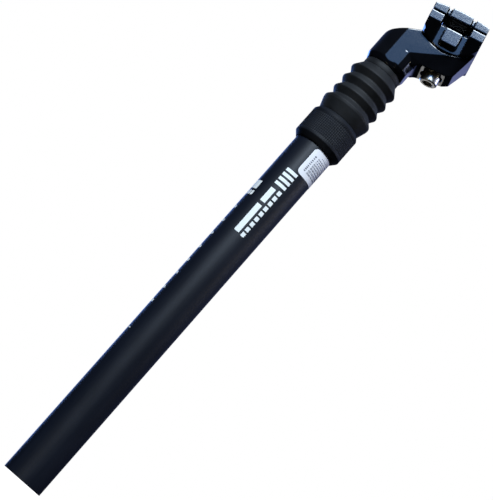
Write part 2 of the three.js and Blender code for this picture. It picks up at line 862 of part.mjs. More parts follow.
function upperClamp() {
  const plate = pushedAlongY(upperOutline(), -clampHalfWidth, clampHalfWidth);
  const [spineX, spineY] = [spineHalfLength, spineHalfWidth];
  const spine = block(-spineX, spineX, -spineY, spineY, spineBottom, upperBottom + reach);
  const notches = [];
  for (const side of [-1, 1]) {
    for (const end of [-1, 1]) {
      const [x0, x1] = [end * notchFrom, end * notchTo].sort((a, b) => a - b);
      const [inner, outer] = [clampHalfWidth - notchDepth, clampHalfWidth + reach];
      const [y0, y1] = [side * inner, side * outer].sort((a, b) => a - b);
      notches.push(block(x0, x1, y0, y1, upperBottom - reach, reach));
    }
  }
  const groove = tiltCylinder(nutRadius + gap, nutHalfLength + gap, round);
  const slotHalf = -spineBottom * Math.tan(tiltLimit) + boltRadius + gap;
  const slot = slotPrism(slotHalf, boltRadius + gap, spineBottom - reach, 0);
  return inClampFrame(carve([plate, spine], [...railCutters(), ...notches, groove, slot]));
}

function clampNut() {
  const barrel = overlap(
    tiltCylinder(nutRadius, nutHalfLength, round),
    block(-discRadius, discRadius, -clampHalfWidth, clampHalfWidth, -discRadius, nutTop),
  );
  const thread = rod(boltRadius + gap, -discRadius, discRadius);
  return inClampFrame(carve([barrel], [thread]));
}

function clampBolt() {
  const body = turned([
    [0, boltFace],
    [boltHeadRadius - boltHeadChamfer, boltFace],
    [boltHeadRadius, boltFace + boltHeadChamfer],
    [boltHeadRadius, bearingFace],
    [boltRadius, bearingFace],
    [boltRadius, boltTip - boltHeadChamfer],
    [boltRadius - boltHeadChamfer, boltTip],
    [0, boltTip],
  ], roundSmall);
  return inClampFrame(carve([body], [hexPrism(boltHex, boltFace - reach, boltFace + boltHexDepth)]));
}

function boltWasher() {
  const bottom = bearingFace + gap;
  return inClampFrame(ring(boltRadius + gap, washerRadius, bottom, bottom + washerThickness, roundSmall));
}

// ---- the whole post ----

const black = 0x1b1e26;
const rubber = 0x1a1a1c;
const plastic = 0x2b2b2e;
const naturalPlastic = 0xd9d5c8;
const steel = 0xb9b6b0;
const alloy = 0xa9abb0;

const pieces = [
  ['outer_tube', outerTube(), black, 0.7, 0.45],
  ['collar_nut', collarNut(), plastic, 0, 0.55],
  ['guide_bushing', guideBushing(), naturalPlastic, 0, 0.5],
  ['guide_key_1', guideKey(0), steel, 1, 0.35],
  ['guide_key_2', guideKey(1), steel, 1, 0.35],
  ['guide_key_3', guideKey(2), steel, 1, 0.35],
  ['wiper_seal', wiperSeal(), rubber, 0, 0.8],
  ['boot', boot(), rubber, 0, 0.75],
  ['main_spring', mainSpring(), steel, 1, 0.35],
  ['preload_plug', preloadPlug(), alloy, 1, 0.4],
  ['plug_o_ring', plugRing(), rubber, 0, 0.7],
  ['spacer_sleeve', spacerSleeve(), naturalPlastic, 0, 0.5],
  ['lower_spring_seat', lowerSpringSeat(), plastic, 0, 0.5],
  ['bump_stop', bumpStop(), naturalPlastic, 0, 0.7],
  ['upper_spring_seat', upperSpringSeat(), plastic, 0, 0.5],
  ['inner_tube', innerTube(), alloy, 1, 0.3],
  ['retaining_ring', retainingRing(), steel, 1, 0.4],
  ['glide_ring', glideRing(), naturalPlastic, 0, 0.5],
  ['topout_bumper', topoutBumper(), rubber, 0, 0.75],
  ['head', head(), black, 0.3, 0.25],
  ['lower_clamp', lowerClamp(), black, 0.3, 0.3],
  ['upper_clamp', upperClamp(), black, 0.3, 0.3],
  ['clamp_nut', clampNut(), steel, 1, 0.35],
  ['clamp_bolt', clampBolt(), steel, 1, 0.25],
  ['bolt_washer', boltWasher(), steel, 1, 0.3],
];

const post = new THREE.Group();
for (const [name, geometry, color, metalness, roughness] of pieces) {
  const material = new THREE.MeshStandardMaterial({ color, metalness, roughness });
  const mesh = new THREE.Mesh(closed(geometry), material);
  mesh.name = name;
  post.add(mesh);
}

export default post;
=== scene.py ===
"""The visible pieces of a telescopic suspension seatpost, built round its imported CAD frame.

Lengths in this file are millimetres until a mesh is made, which is in metres. +Z runs up the
post and +X points to the rear of the bicycle.
"""

import json
import math
import random

import bmesh
import bpy
import numpy as np
from mathutils import Matrix, Vector


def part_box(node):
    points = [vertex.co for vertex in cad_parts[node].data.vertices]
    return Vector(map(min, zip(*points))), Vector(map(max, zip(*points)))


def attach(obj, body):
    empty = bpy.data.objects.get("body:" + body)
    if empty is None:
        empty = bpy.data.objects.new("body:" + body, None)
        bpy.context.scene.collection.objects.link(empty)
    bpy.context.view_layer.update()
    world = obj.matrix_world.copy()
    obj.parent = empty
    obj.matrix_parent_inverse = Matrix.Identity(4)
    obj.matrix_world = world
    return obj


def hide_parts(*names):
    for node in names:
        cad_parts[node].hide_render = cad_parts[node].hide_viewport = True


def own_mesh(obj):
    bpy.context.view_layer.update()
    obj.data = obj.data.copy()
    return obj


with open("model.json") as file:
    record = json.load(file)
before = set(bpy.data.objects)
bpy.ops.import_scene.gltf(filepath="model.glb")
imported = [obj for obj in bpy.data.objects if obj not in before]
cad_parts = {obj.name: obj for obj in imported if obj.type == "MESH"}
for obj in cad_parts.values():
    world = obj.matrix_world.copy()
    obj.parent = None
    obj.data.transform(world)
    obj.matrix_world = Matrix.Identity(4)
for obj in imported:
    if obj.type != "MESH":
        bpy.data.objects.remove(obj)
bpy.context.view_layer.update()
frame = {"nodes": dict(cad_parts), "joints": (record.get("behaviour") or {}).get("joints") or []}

bl_info = {
    "name": "Suspension Seatpost",
    "version": (1, 0, 0),
    "blender": (4, 5, 0),
    "location": "3D View > Sidebar > Seatpost",
    "description": "Builds the visible pieces of a telescopic suspension seatpost",
    "category": "Object",
}

MM = 0.001


# ---- what the frame says ----


def span(node):
    """Lowest and highest corner of a CAD node, in millimetres."""
    low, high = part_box(node)
    return low / MM, high / MM


def joint(name):
    return next(j for j in frame["joints"] if j["name"] == name)


def clamp_frame():
    """Matrix from the clamp's own frame (X along the rails, Z along the bolt) to the post's."""
    rise = Vector(joint("nut_travel")["axis"]).normalized()
    side = Vector((0, 1, 0))
    along = side.cross(rise).normalized()
    turn = Matrix((along, side, rise)).transposed().to_4x4()
    return Matrix.Translation(Vector(joint("clamp_tilt")["pos_m"]) / MM) @ turn


TUBE = span("outer_tube")
COLLAR = span("collar_nut")
BOOT = span("boot")
HEAD = span("head")
PLUG = span("preload_plug")
SPRING = span("main_spring")
CLAMP = clamp_frame()
TUBE_RADIUS = TUBE[1].x
TUBE_TOP = TUBE[1].z
COLLAR_LOW, COLLAR_HIGH = COLLAR[0].z, COLLAR[1].z
BOOT_LOW, BOOT_HIGH = BOOT[0].z, BOOT[1].z
BOOT_FIXED = joint("suspension_travel")["deforming_nodes"][0]["fixed_end_z_m"] / MM
TILT = math.radians(joint("clamp_tilt")["range_deg"][1])
FIT_GAP = 0.3
SPIGOT_LOW, HEAD_LOW = HEAD[0].z, BOOT_HIGH + FIT_GAP


# ---- colours, sizes and settings ----


def linear(code):
    """An sRGB hex colour such as '#1b1e26' as linear red, green and blue."""
    parts = [int(code[i : i + 2], 16) / 255 for i in (1, 3, 5)]
    return tuple(c / 12.92 if c <= 0.04045 else ((c + 0.055) / 1.055) ** 2.4 for c in parts)


def length(name, description, millimetres):
    return bpy.props.FloatProperty(
        name=name, description=description, default=millimetres * MM, min=0, unit="LENGTH", precision=5
    )


def colour(name, description, code):
    return bpy.props.FloatVectorProperty(
        name=name, description=description, default=linear(code), size=3, min=0, max=1, subtype="COLOR"
    )


class SeatpostSizes(bpy.types.PropertyGroup):
    rim_round: length("Rim rounding", "Rounding of the tube's cut ends", 0.35)
    print_thickness: length("Print thickness", "Height of the white print over the tube", 0.03)
    label_thickness: length("Label thickness", "Thickness of the paper label", 0.08)
    knurl_depth: length("Knurl depth", "Depth of the grooves on the collar", 0.3)
    collar_round: length("Collar rounding", "Rounding of the collar's edges", 0.35)
    boot_round: length("Fold rounding", "Rounding of the boot's ridges", 0.9)
    boot_wall: length("Boot wall", "Thickness of the boot's rubber", 1.3)
    paint_voxel: length("Casting detail", "Finest detail kept on the head and clamp", 0.3)
    thread_pitch: length("Bolt thread pitch", "Pitch of the clamp bolt's thread", 1.25)
    plug_pitch: length("Plug thread pitch", "Pitch of the preload plug's thread", 1.5)
    knurl_ribs: bpy.props.IntProperty(
        name="Knurl ribs", description="Ribs round the collar", default=76, min=24, max=160
    )


class SeatpostColours(bpy.types.PropertyGroup):
    tube: colour("Tube", "Black anodised aluminium", "#0b101b")
    collar: colour("Collar", "Black nylon", "#0f1219")
    boot: colour("Boot", "Black rubber", "#0c0e12")
    paint: colour("Head paint", "Gloss black paint", "#0b0c10")
    clamp_paint: colour("Clamp paint", "Black paint on the clamp", "#101218")
    print_ink: colour("Print", "White screen-print ink", "#f2f5f4")
    label_paper: colour("Label", "White paper", "#f4f3f8")
    label_ink: colour("Label ink", "Grey label ink", "#4a4e5e")
    zinc: colour("Zinc plate", "Bright zinc-plated steel", "#d6d4cf")
    alloy: colour("Bare alloy", "Turned aluminium", "#c4c6ca")
    nylon: colour("Natural nylon", "Cream slide bearings", "#d9d4c4")
    spring: colour("Spring steel", "Oiled spring steel", "#8d8a85")


# ---- mesh building ----


def placed(name, mesh):
    """A new object in the scene that holds a mesh."""
    made = bpy.data.objects.new(name, mesh)
    bpy.context.scene.collection.objects.link(made)
    return made


def mesh_object(name, points, faces, matrix=None, smooth=True):
    """A new object from points in millimetres."""
    mesh = bpy.data.meshes.new(name)
    if matrix is not None:
        points = [matrix @ Vector(p) for p in points]
    mesh.from_pydata([tuple(c * MM for c in p) for p in points], [], faces)
    mesh.validate()
    bm = bmesh.new()
    bm.from_mesh(mesh)
    bmesh.ops.remove_doubles(bm, verts=bm.verts, dist=1e-7)
    bmesh.ops.recalc_face_normals(bm, faces=bm.faces)
    if bm.calc_volume(signed=True) < 0:
        bmesh.ops.reverse_faces(bm, faces=bm.faces)
    bm.to_mesh(mesh)
    bm.free()
    mesh.polygons.foreach_set("use_smooth", [smooth] * len(mesh.polygons))
    return placed(name, mesh)


def rounded(outline, radius, steps=4, closed=True):
    """The outline with each corner turned into a short curve. A point (a, b, r) has its own radius."""
    count = len(outline)
    result = []
    for i, point in enumerate(outline):
        here = Vector(point[:2])
        size = point[2] if len(point) > 2 else radius
        at_end = not closed and i in (0, count - 1)
        before = Vector(outline[i - 1][:2]) - here
        after = Vector(outline[(i + 1) % count][:2]) - here
        if at_end or size <= 0 or before.length < 1e-6 or after.length < 1e-6:
            result.append(tuple(here))
            continue
        turn = math.pi - before.angle(after)
        if turn < math.radians(3):
            result.append(tuple(here))
            continue
        cut = min(size * math.tan(turn / 2), before.length * 0.48, after.length * 0.48)
        first = here + before.normalized() * cut
        last = here + after.normalized() * cut
        for k in range(steps + 1):
            t = k / steps
            result.append(tuple(first * (1 - t) ** 2 + here * 2 * t * (1 - t) + last * t * t))
    return result


def turned(name, outline, sides=96, shape=None, matrix=None, closed=True):
    """Turns an outline of (radius, height) about Z.

    shape(angle, radius, height) gives a point's own radius.
    """
    points, rings = [], []
    for radius, height in outline:
        if radius < 1e-6:
            rings.append([len(points)] * sides)
            points.append((0, 0, height))
            continue
        rings.append(list(range(len(points), len(points) + sides)))
        for k in range(sides):
            angle = 2 * math.pi * k / sides
            reach = shape(angle, radius, height) if shape else radius
            points.append((reach * math.cos(angle), reach * math.sin(angle), height))
    faces = []
    pairs = len(rings) if closed else len(rings) - 1
    for i in range(pairs):
        low, high = rings[i], rings[(i + 1) % len(rings)]
        for k in range(sides):
            n = (k + 1) % sides
            face = []
            for corner in (low[k], low[n], high[n], high[k]):
                if corner not in face:
                    face.append(corner)
            if len(face) > 2:
                faces.append(face)
    return mesh_object(name, points, faces, matrix)


def prism(name, outline, low, high, axes="xyz", matrix=None):
    """Pushes a flat outline from low to high. axes names its two directions and the push."""
    order = ["xyz".index(a) for a in axes]
    points = []
    for height in (low, high):
        for a, b in outline:
            point = [0, 0, 0]
            point[order[0]], point[order[1]], point[order[2]] = a, b, height
            points.append(point)
    count = len(outline)
    faces = [list(range(count))[::-1], list(range(count, 2 * count))]
    faces += [[i, (i + 1) % count, count + (i + 1) % count, count + i] for i in range(count)]
    return mesh_object(name, points, faces, matrix, smooth=False)


def block(name, x, y, z, matrix=None):
    outline = [(x[0], y[0]), (x[1], y[0]), (x[1], y[1]), (x[0], y[1])]
    return prism(name, outline, z[0], z[1], matrix=matrix)


def rod(name, radius, low, high, matrix=None, sides=96):
    outline = [(0, low), (radius, low), (radius, high), (0, high)]
    return turned(name, outline, sides, matrix=matrix, closed=False)


def hull(name, points):
    """The smallest convex shape round the points."""
    bm = bmesh.new()
    for p in points:
        bm.verts.new(tuple(c * MM for c in p))
    bmesh.ops.convex_hull(bm, input=bm.verts)
    loose = [v for v in bm.verts if not v.link_faces]
    bmesh.ops.delete(bm, geom=loose, context="VERTS")
    mesh = bpy.data.meshes.new(name)
    bm.to_mesh(mesh)
    bm.free()
    return placed(name, mesh)


def settle(obj):
    """Turns an object's modifiers into its mesh."""
    bpy.context.view_layer.update()
    graph = bpy.context.evaluated_depsgraph_get()
    mesh = bpy.data.meshes.new_from_object(obj.evaluated_get(graph))
    obj.modifiers.clear()
    old = obj.data
    obj.data = mesh
    bpy.data.meshes.remove(old)
    return obj


def carve(whole, steps):
    """Works a shape with each tool in turn: steps are ('UNION', 'INTERSECT' or 'DIFFERENCE', tool)."""
    for operation, tool in steps:
        cut = whole.modifiers.new("carve", "BOOLEAN")
        cut.operation = operation
        cut.solver = "EXACT"
        cut.object = tool
        settle(whole)
        bpy.data.objects.remove(tool)
    if not whole.data.polygons:
        raise RuntimeError(f"{whole.name} has nothing left after carving")
    return whole


def cast(obj, voxel, smoothing, share):
    """Gives a carved shape the small soft edges of a forging under paint.

    The voxel is in metres, and share is the part of the faces that is kept.
    """
    remesh = obj.modifiers.new("remesh", "REMESH")
    remesh.mode = "VOXEL"
    remesh.voxel_size = voxel
    remesh.use_smooth_shade = True
    smooth = obj.modifiers.new("smooth", "SMOOTH")
    smooth.factor = 0.5
    smooth.iterations = smoothing
    settle(obj)
    thin = obj.modifiers.new("thin", "DECIMATE")
    thin.ratio = share
    settle(obj)
    obj.data.polygons.foreach_set("use_smooth", [True] * len(obj.data.polygons))
    # Broad faces keep their own direction, so that they reflect flat.
    weighted = obj.modifiers.new("flat faces", "WEIGHTED_NORMAL")
    weighted.mode = "FACE_AREA"
    weighted.weight = 90
    return settle(obj)


def crisp(obj, degrees=30):
    """Smooth shading that stays sharp at edges steeper than the angle."""
    mesh = obj.data
    mesh.polygons.foreach_set("use_smooth", [True] * len(mesh.polygons))
    bm = bmesh.new()
    bm.from_mesh(mesh)
    for edge in bm.edges:
        edge.smooth = len(edge.link_faces) != 2 or edge.calc_face_angle() < math.radians(degrees)
    bm.to_mesh(mesh)
    bm.free()
    return obj


def joined(name, parts):
    """One object from several, in the order given."""
    bm = bmesh.new()
    for part in parts:
        bm.from_mesh(part.data)
    mesh = bpy.data.meshes.new(name)
    bm.to_mesh(mesh)
    bm.free()
    for part in parts:
        bpy.data.objects.remove(part)
    return placed(name, mesh)


def soften(obj, width, segments):
    """Bevels the edges of a piece that keeps its modifiers; the width is in millimetres."""
    bevel = obj.modifiers.new("soft edges", "BEVEL")
    bevel.width = width * MM
    bevel.segments = segments
    bevel.limit_method = "ANGLE"
    bevel.angle_limit = math.radians(40)


def finish_piece(obj, body, material, slot, *nodes):
    """Gives a piece its finish and its body, and hides the CAD nodes it stands for."""
    obj.data.materials.clear()
    obj.data.materials.append(material)
    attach(obj, body)
    if nodes:
        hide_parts(*nodes)
    return obj


# ---- materials ----


def add(tree, kind, settings=None, **links):
    """Adds a node, sets its properties or inputs, and links inputs from other nodes' outputs."""
    node = tree.nodes.new(kind)
    for key, value in (settings or {}).items():
        if isinstance(key, int) or key in node.inputs:
            node.inputs[key].default_value = value
        else:
            setattr(node, key, value)
    for key, source in links.items():
        socket = node.inputs[int(key[1:])] if key[0] == "i" and key[1:].isdigit() else node.inputs[key]
        tree.links.new(source, socket)
    return node


def surface(name, settings):
    """An empty material: its tree, its Principled node and the object's own coordinates."""
    material = bpy.data.materials.new(name)
    material.use_nodes = True
    tree = material.node_tree
    tree.nodes.clear()
    shader = add(tree, "ShaderNodeBsdfPrincipled", settings)
    add(tree, "ShaderNodeOutputMaterial", Surface=shader.outputs[0])
    place = add(tree, "ShaderNodeTexCoord").outputs["Object"]
    return material, tree, shader, place


def pattern(tree, place, size, stretch=(1, 1, 1), detail=4):
    """Noise whose features are about size millimetres across, drawn out where stretch is small."""
    scaled = add(tree, "ShaderNodeMapping", {"Scale": stretch}, Vector=place)
    settings = {"Scale": 1 / (size * MM), "Detail": detail, "Roughness": 0.55}
    noise = add(tree, "ShaderNodeTexNoise", settings, Vector=scaled.outputs[0])
    return noise.outputs["Fac"]


def ranged(tree, source, low, high, start=0.3, end=0.7):
    """A pattern's middle values spread between low and high."""
    settings = {"From Min": start, "From Max": end, "To Min": low, "To Max": high}
    return add(tree, "ShaderNodeMapRange", settings, Value=source).outputs["Result"]


def tinted(tree, source, dark, light):
    """A colour between two, by a pattern."""
    ramp = add(tree, "ShaderNodeValToRGB", Fac=source)
    ramp.color_ramp.elements[0].color = (*dark, 1)
    ramp.color_ramp.elements[1].color = (*light, 1)
    ramp.color_ramp.elements[0].position = 0.3
    ramp.color_ramp.elements[1].position = 0.7
    return ramp.outputs["Color"]


def raised(tree, shader, source, depth, normal=None):
    """Adds a bump of that depth in millimetres, on top of an earlier one."""
    bump = add(tree, "ShaderNodeBump", {"Strength": 1.0, "Distance": depth * MM}, Height=source)
    if normal is not None:
        tree.links.new(normal, bump.inputs["Normal"])
    tree.links.new(bump.outputs["Normal"], shader.inputs["Normal"])
    return bump.outputs["Normal"]


def scaled(values, factor):
    """A colour made lighter or darker."""
    return tuple(min(1, c * factor) for c in values)


def metal(name, base, roughness, grain, stretch, depth):
    """A metal with tool marks: grain is their spacing in millimetres, stretch the way they run."""
    settings = {"Metallic": 1.0, "Roughness": roughness}
    material, tree, shader, place = surface(name, settings)
    marks = pattern(tree, place, grain, stretch, 5)
    clouds = pattern(tree, place, 6.0, (1, 1, 0.4), 3)
    tree.links.new(tinted(tree, clouds, scaled(base, 0.82), scaled(base, 1.3)), shader.inputs["Base Color"])
    tree.links.new(ranged(tree, marks, roughness * 0.8, roughness * 1.25), shader.inputs["Roughness"])
    raised(tree, shader, marks, depth)
    return material


def anodised_tube(base):
    # Black anodised aluminium, drawn and bead-blasted: a satin sheen with faint lines up the tube.
    settings = {"IOR": 1.6, "Roughness": 0.48, "Specular IOR Level": 0.25}
    material, tree, shader, place = surface("Anodised_aluminium_blasted", settings)
    # The blasted grain is about 0.05 mm and is drawn at 0.5 mm so that it shows.
    grain = pattern(tree, place, 0.5, detail=3)
    lines = pattern(tree, place, 0.9, (1, 1, 0.02), 4)
    rubs = pattern(tree, place, 14.0, (1, 1, 0.25), 5)
    tree.links.new(tinted(tree, rubs, scaled(base, 0.85), scaled(base, 1.25)), shader.inputs["Base Color"])
    mixed = add(tree, "ShaderNodeMath", {"operation": "MULTIPLY_ADD", 1: 0.6}, i0=lines, i2=rubs)
    tree.links.new(ranged(tree, mixed.outputs[0], 0.42, 0.54, 0.5, 1.1), shader.inputs["Roughness"])
    first = raised(tree, shader, grain, 0.02)
    raised(tree, shader, lines, 0.012, first)
    return material


def moulded_nylon(base):
    # Glass-filled nylon from a spark-eroded mould: an even, slightly glossy black grain.
    settings = {"IOR": 1.53, "Roughness": 0.6, "Specular IOR Level": 0.2}
    material, tree, shader, place = surface("Nylon_moulded_black", settings)
    grain = pattern(tree, place, 0.4, detail=3)
    flow = pattern(tree, place, 9.0, (1, 1, 2), 4)
    tree.links.new(tinted(tree, flow, scaled(base, 0.8), scaled(base, 1.25)), shader.inputs["Base Color"])
    tree.links.new(ranged(tree, grain, 0.52, 0.68), shader.inputs["Roughness"])
    raised(tree, shader, grain, 0.03)
    return material


def moulded_rubber(name, base, roughness):
    # Chloroprene rubber, moulded: matt, with a dusty bloom and fine pits.
    settings = {"IOR": 1.5, "Roughness": roughness, "Sheen Weight": 0.04, "Sheen Roughness": 0.5}
    settings["Specular IOR Level"] = 0.35
    material, tree, shader, place = surface(name, settings)
    pits = pattern(tree, place, 0.6)
    bloom = pattern(tree, place, 8.0, (1, 1, 1.6), 5)
    tree.links.new(tinted(tree, bloom, scaled(base, 0.75), scaled(base, 1.5)), shader.inputs["Base Color"])
    tree.links.new(ranged(tree, bloom, roughness * 0.88, roughness * 1.15), shader.inputs["Roughness"])
    raised(tree, shader, pits, 0.05)
    return material


def gloss_paint(name, base, roughness, ior):
    # Stoved enamel over a forging: deep gloss with the slight waves of orange peel.
    settings = {"IOR": ior, "Roughness": roughness, "Coat Weight": 0.3, "Coat Roughness": 0.05}
    material, tree, shader, place = surface(name, settings)
    peel = pattern(tree, place, 2.6, detail=2)
    dust = pattern(tree, place, 1.2, detail=3)
    film = pattern(tree, place, 11.0, detail=3)
    tree.links.new(tinted(tree, film, scaled(base, 0.8), scaled(base, 1.3)), shader.inputs["Base Color"])
    tree.links.new(ranged(tree, dust, roughness * 0.93, roughness * 1.07), shader.inputs["Roughness"])
    raised(tree, shader, peel, 0.012)
    return material


def screen_ink(base):
    # White screen-print ink: thin, matt, with pinholes where the mesh of the screen was.
    settings = {"IOR": 1.5, "Roughness": 0.55}
    material, tree, shader, place = surface("Ink_screen_printed_white", settings)
    weave = pattern(tree, place, 0.5, detail=3)
    tree.links.new(tinted(tree, weave, scaled(base, 0.9), base), shader.inputs["Base Color"])
    tree.links.new(ranged(tree, weave, 0.5, 0.65), shader.inputs["Roughness"])
    raised(tree, shader, weave, 0.01)
    return material


def paper(name, dark, light, roughness):
    # Coated label paper: smooth, with faint fibres along the roll.
    settings = {"IOR": 1.45, "Roughness": roughness}
    material, tree, shader, place = surface(name, settings)
    fibres = pattern(tree, place, 0.8, (1, 1, 0.3), 5)
    tree.links.new(tinted(tree, fibres, dark, light), shader.inputs["Base Color"])
    tree.links.new(ranged(tree, fibres, roughness * 0.85, roughness * 1.1), shader.inputs["Roughness"])
    raised(tree, shader, fibres, 0.01)
    return material


def polymer(name, base, roughness, size=1.2):
    # Turned or moulded engineering plastic: waxy, with faint tool lines.
    settings = {"IOR": 1.5, "Roughness": roughness, "Subsurface Weight": 0.05}
    material, tree, shader, place = surface(name, settings)
    lines = pattern(tree, place, size, (0.3, 0.3, 3), 4)
    tree.links.new(tinted(tree, lines, scaled(base, 0.85), scaled(base, 1.08)), shader.inputs["Base Color"])
    tree.links.new(ranged(tree, lines, roughness * 0.85, roughness * 1.15), shader.inputs["Roughness"])
    raised(tree, shader, lines, 0.02)
    return material


# ---- outer tube ----


class SEATPOST_OT_tube(bpy.types.Operator):
    """Builds the outer tube with its rounded rims"""

    bl_idname = "seatpost.tube"
    bl_label = "Outer Tube"

    def execute(self, context):
        sizes, colours = context.scene.seatpost_sizes, context.scene.seatpost_colours
        bore = PLUG[1].x + FIT_GAP
        outline = [(bore, 0), (TUBE_RADIUS, 0), (TUBE_RADIUS, TUBE_TOP), (bore, TUBE_TOP)]
        tube = turned("tube_body", rounded(outline, sizes.rim_round / MM), 160)
        finish_piece(tube, "outer", anodised_tube(colours.tube), "anodised_tube", "outer_tube")
        return {"FINISHED"}


# ---- print and label, laid out as (arc, height): arc is measured round the tube from its near side ----


def on_tube(name, outline, lift, thickness, step=0.6):
    """A thin patch wrapped on the tube from a flat outline, cut every step so that it bends evenly."""
    flat = bmesh.new()
    ring = [flat.verts.new((a, b, 0)) for a, b in outline]
    flat.faces.new(ring)
    bmesh.ops.triangulate(flat, faces=flat.faces)
    arcs = [a for a, _ in outline]
    cut = math.ceil(min(arcs) / step) * step
    while cut < max(arcs):
        geometry = flat.verts[:] + flat.edges[:] + flat.faces[:]
        bmesh.ops.bisect_plane(flat, geom=geometry, plane_co=(cut, 0, 0), plane_no=(1, 0, 0))
        cut += step
    top = bmesh.ops.extrude_face_region(flat, geom=flat.faces[:])
    raised_verts = {v for v in top["geom"] if isinstance(v, bmesh.types.BMVert)}
    for v in flat.verts:
        radius = TUBE_RADIUS + lift + (thickness if v in raised_verts else 0)
        angle = v.co.x / TUBE_RADIUS - math.pi / 2
        v.co = (radius * math.cos(angle) * MM, radius * math.sin(angle) * MM, v.co.y * MM)
    bmesh.ops.recalc_face_normals(flat, faces=flat.faces)
    mesh = bpy.data.meshes.new(name)
    flat.to_mesh(mesh)
    flat.free()
    return crisp(placed(name, mesh), 40)


# Print and label stand this far off the tube, so that they never share its surface.
PRINT_LIFT = 0.02

# The print is plain oblongs: a stack of bars, two long bars below it and a row of dashes beside them.
STACK_ARC, STACK_LOW, STACK_TALL, STACK_PITCH, STACK_COUNT = (-3.1, 5.2), 233.6, 2.2, 3.6, 4
LONG_ARC, LONG_BARS = (-2.75, 0.85), ((195.2, 217.2), (219.6, 230.4))
DASH_ARC, DASH_LOW, DASH_TALL, DASH_PITCH, DASH_COUNT = (2.5, 5.1), 194.6, 3.0, 4.24, 9

# On the front, a block with three short strokes under it stands over the height marks.
FRONT_BLOCK = (-18.2, -10.6), (224.2, 230.6)
STROKE_ARCS, STROKE_WIDTH, STROKE_HEIGHTS = (-17.6, -14.9, -12.2), 2.0, (219.2, 222.6)
MARK_HEIGHTS = (208.7, 197.4, 186.8, 175.6, 164.4, 154.0, 142.4, 131.4)
MARK_MIDDLE, MARK_WIDTH = -15.9, 3.4
STOP_LINE = (-19.0, -13.2), (109.2, 109.9)


def oblong(arc, heights):
    (left, right), (low, high) = arc, heights
    return [(left, low), (right, low), (right, high), (left, high)]


def oblongs_up(arc, low, tall, pitch, count):
    """Equal oblongs, one above the other."""
    return [oblong(arc, (low + k * pitch, low + k * pitch + tall)) for k in range(count)]


class SEATPOST_OT_print(bpy.types.Operator):
    """Lays the white print on the tube: plain bars and blocks, and the height marks on its front"""

    bl_idname = "seatpost.print"
    bl_label = "Print"

    def execute(self, context):
        sizes, colours = context.scene.seatpost_sizes, context.scene.seatpost_colours
        ink = screen_ink(colours.print_ink)
        thickness = sizes.print_thickness / MM
        shapes = oblongs_up(STACK_ARC, STACK_LOW, STACK_TALL, STACK_PITCH, STACK_COUNT)
        shapes += [oblong(LONG_ARC, heights) for heights in LONG_BARS]
        shapes += oblongs_up(DASH_ARC, DASH_LOW, DASH_TALL, DASH_PITCH, DASH_COUNT)
        strokes = [on_tube("stroke", shape, PRINT_LIFT, thickness) for shape in shapes]
        finish_piece(joined("side_print", strokes), "outer", ink, "anodised_tube")

        shapes = [oblong(*FRONT_BLOCK)]
        shapes += [oblong((arc, arc + STROKE_WIDTH), STROKE_HEIGHTS) for arc in STROKE_ARCS]
        left, right = MARK_MIDDLE - MARK_WIDTH / 2, MARK_MIDDLE + MARK_WIDTH / 2
        for height in MARK_HEIGHTS:
            shape = [(left, height - 1.5), (right, height - 1.2)]
            shapes.append(shape + [(right, height + 0.2), (left, height + 1.5)])
        shapes.append(oblong(*STOP_LINE))
        marks = [on_tube("mark", shape, PRINT_LIFT, thickness) for shape in shapes]
        finish_piece(joined("height_marks", marks), "outer", ink, "anodised_tube")
        return {"FINISHED"}


class SEATPOST_OT_label(bpy.types.Operator):
    """Sticks the white paper label below the collar, with plain grey bars on it"""

    bl_idname = "seatpost.label"
    bl_label = "Label"

    def execute(self, context):
        sizes, colours = context.scene.seatpost_sizes, context.scene.seatpost_colours
        low, high, left, right = 248.0, 268.0, 2.4, 30.5
        outline = rounded([(left, low), (right, low), (right, high), (left, high)], 3.2, 8)
        thickness = sizes.label_thickness / MM
        label = on_tube("paper_label", outline, PRINT_LIFT, thickness)
        stock = paper("Paper_coated_white", scaled(colours.label_paper, 0.93), colours.label_paper, 0.5)
        finish_piece(label, "outer", stock, "anodised_tube")

        ink = paper("Ink_offset_grey", colours.label_ink, scaled(colours.label_ink, 1.4), 0.6)
        ink_lift = PRINT_LIFT + thickness + 0.005
        rng = random.Random(7)
        parts = []

        def bar(a0, a1, z0, z1):
            shape = [(a0, z0), (a1, z0), (a1, z1), (a0, z1)]
            parts.append(on_tube("bar", shape, ink_lift, 0.012))

        # a column of small dots near the label's left edge
        height = low + 3.6
        while height < high - 5.0:
            bar(5.3, 6.5, height, height + rng.uniform(0.6, 1.1))
            height += rng.uniform(1.2, 1.7)
        # three rows of dashes
        for row in (263.3, 261.9, 260.5):
            arc = 8.2
            while arc < 27.0:
                width = rng.uniform(0.5, 1.4)
                bar(arc, arc + width, row - 0.3, row + 0.3)
                arc += width + rng.uniform(0.35, 0.7)
        # five rows of short upright strokes
        for row, tall in ((251.2, 1.2), (252.9, 1.5), (254.9, 1.3), (256.7, 1.2), (258.4, 1.1)):
            arc = 8.0
            while arc < 26.0:
                bar(arc, arc + 0.36, row, row + tall)
                arc += rng.choice((0.55, 0.65, 0.8))
        # one finer row of dashes over the rest
        arc = 10.0
        while arc < 24.0:
            width = rng.uniform(0.6, 1.2)
            bar(arc, arc + width, 265.0, 265.35)
            arc += width + 0.5
        finish_piece(joined("label_print", parts), "outer", ink, "anodised_tube")
        return {"FINISHED"}


# ---- collar ----


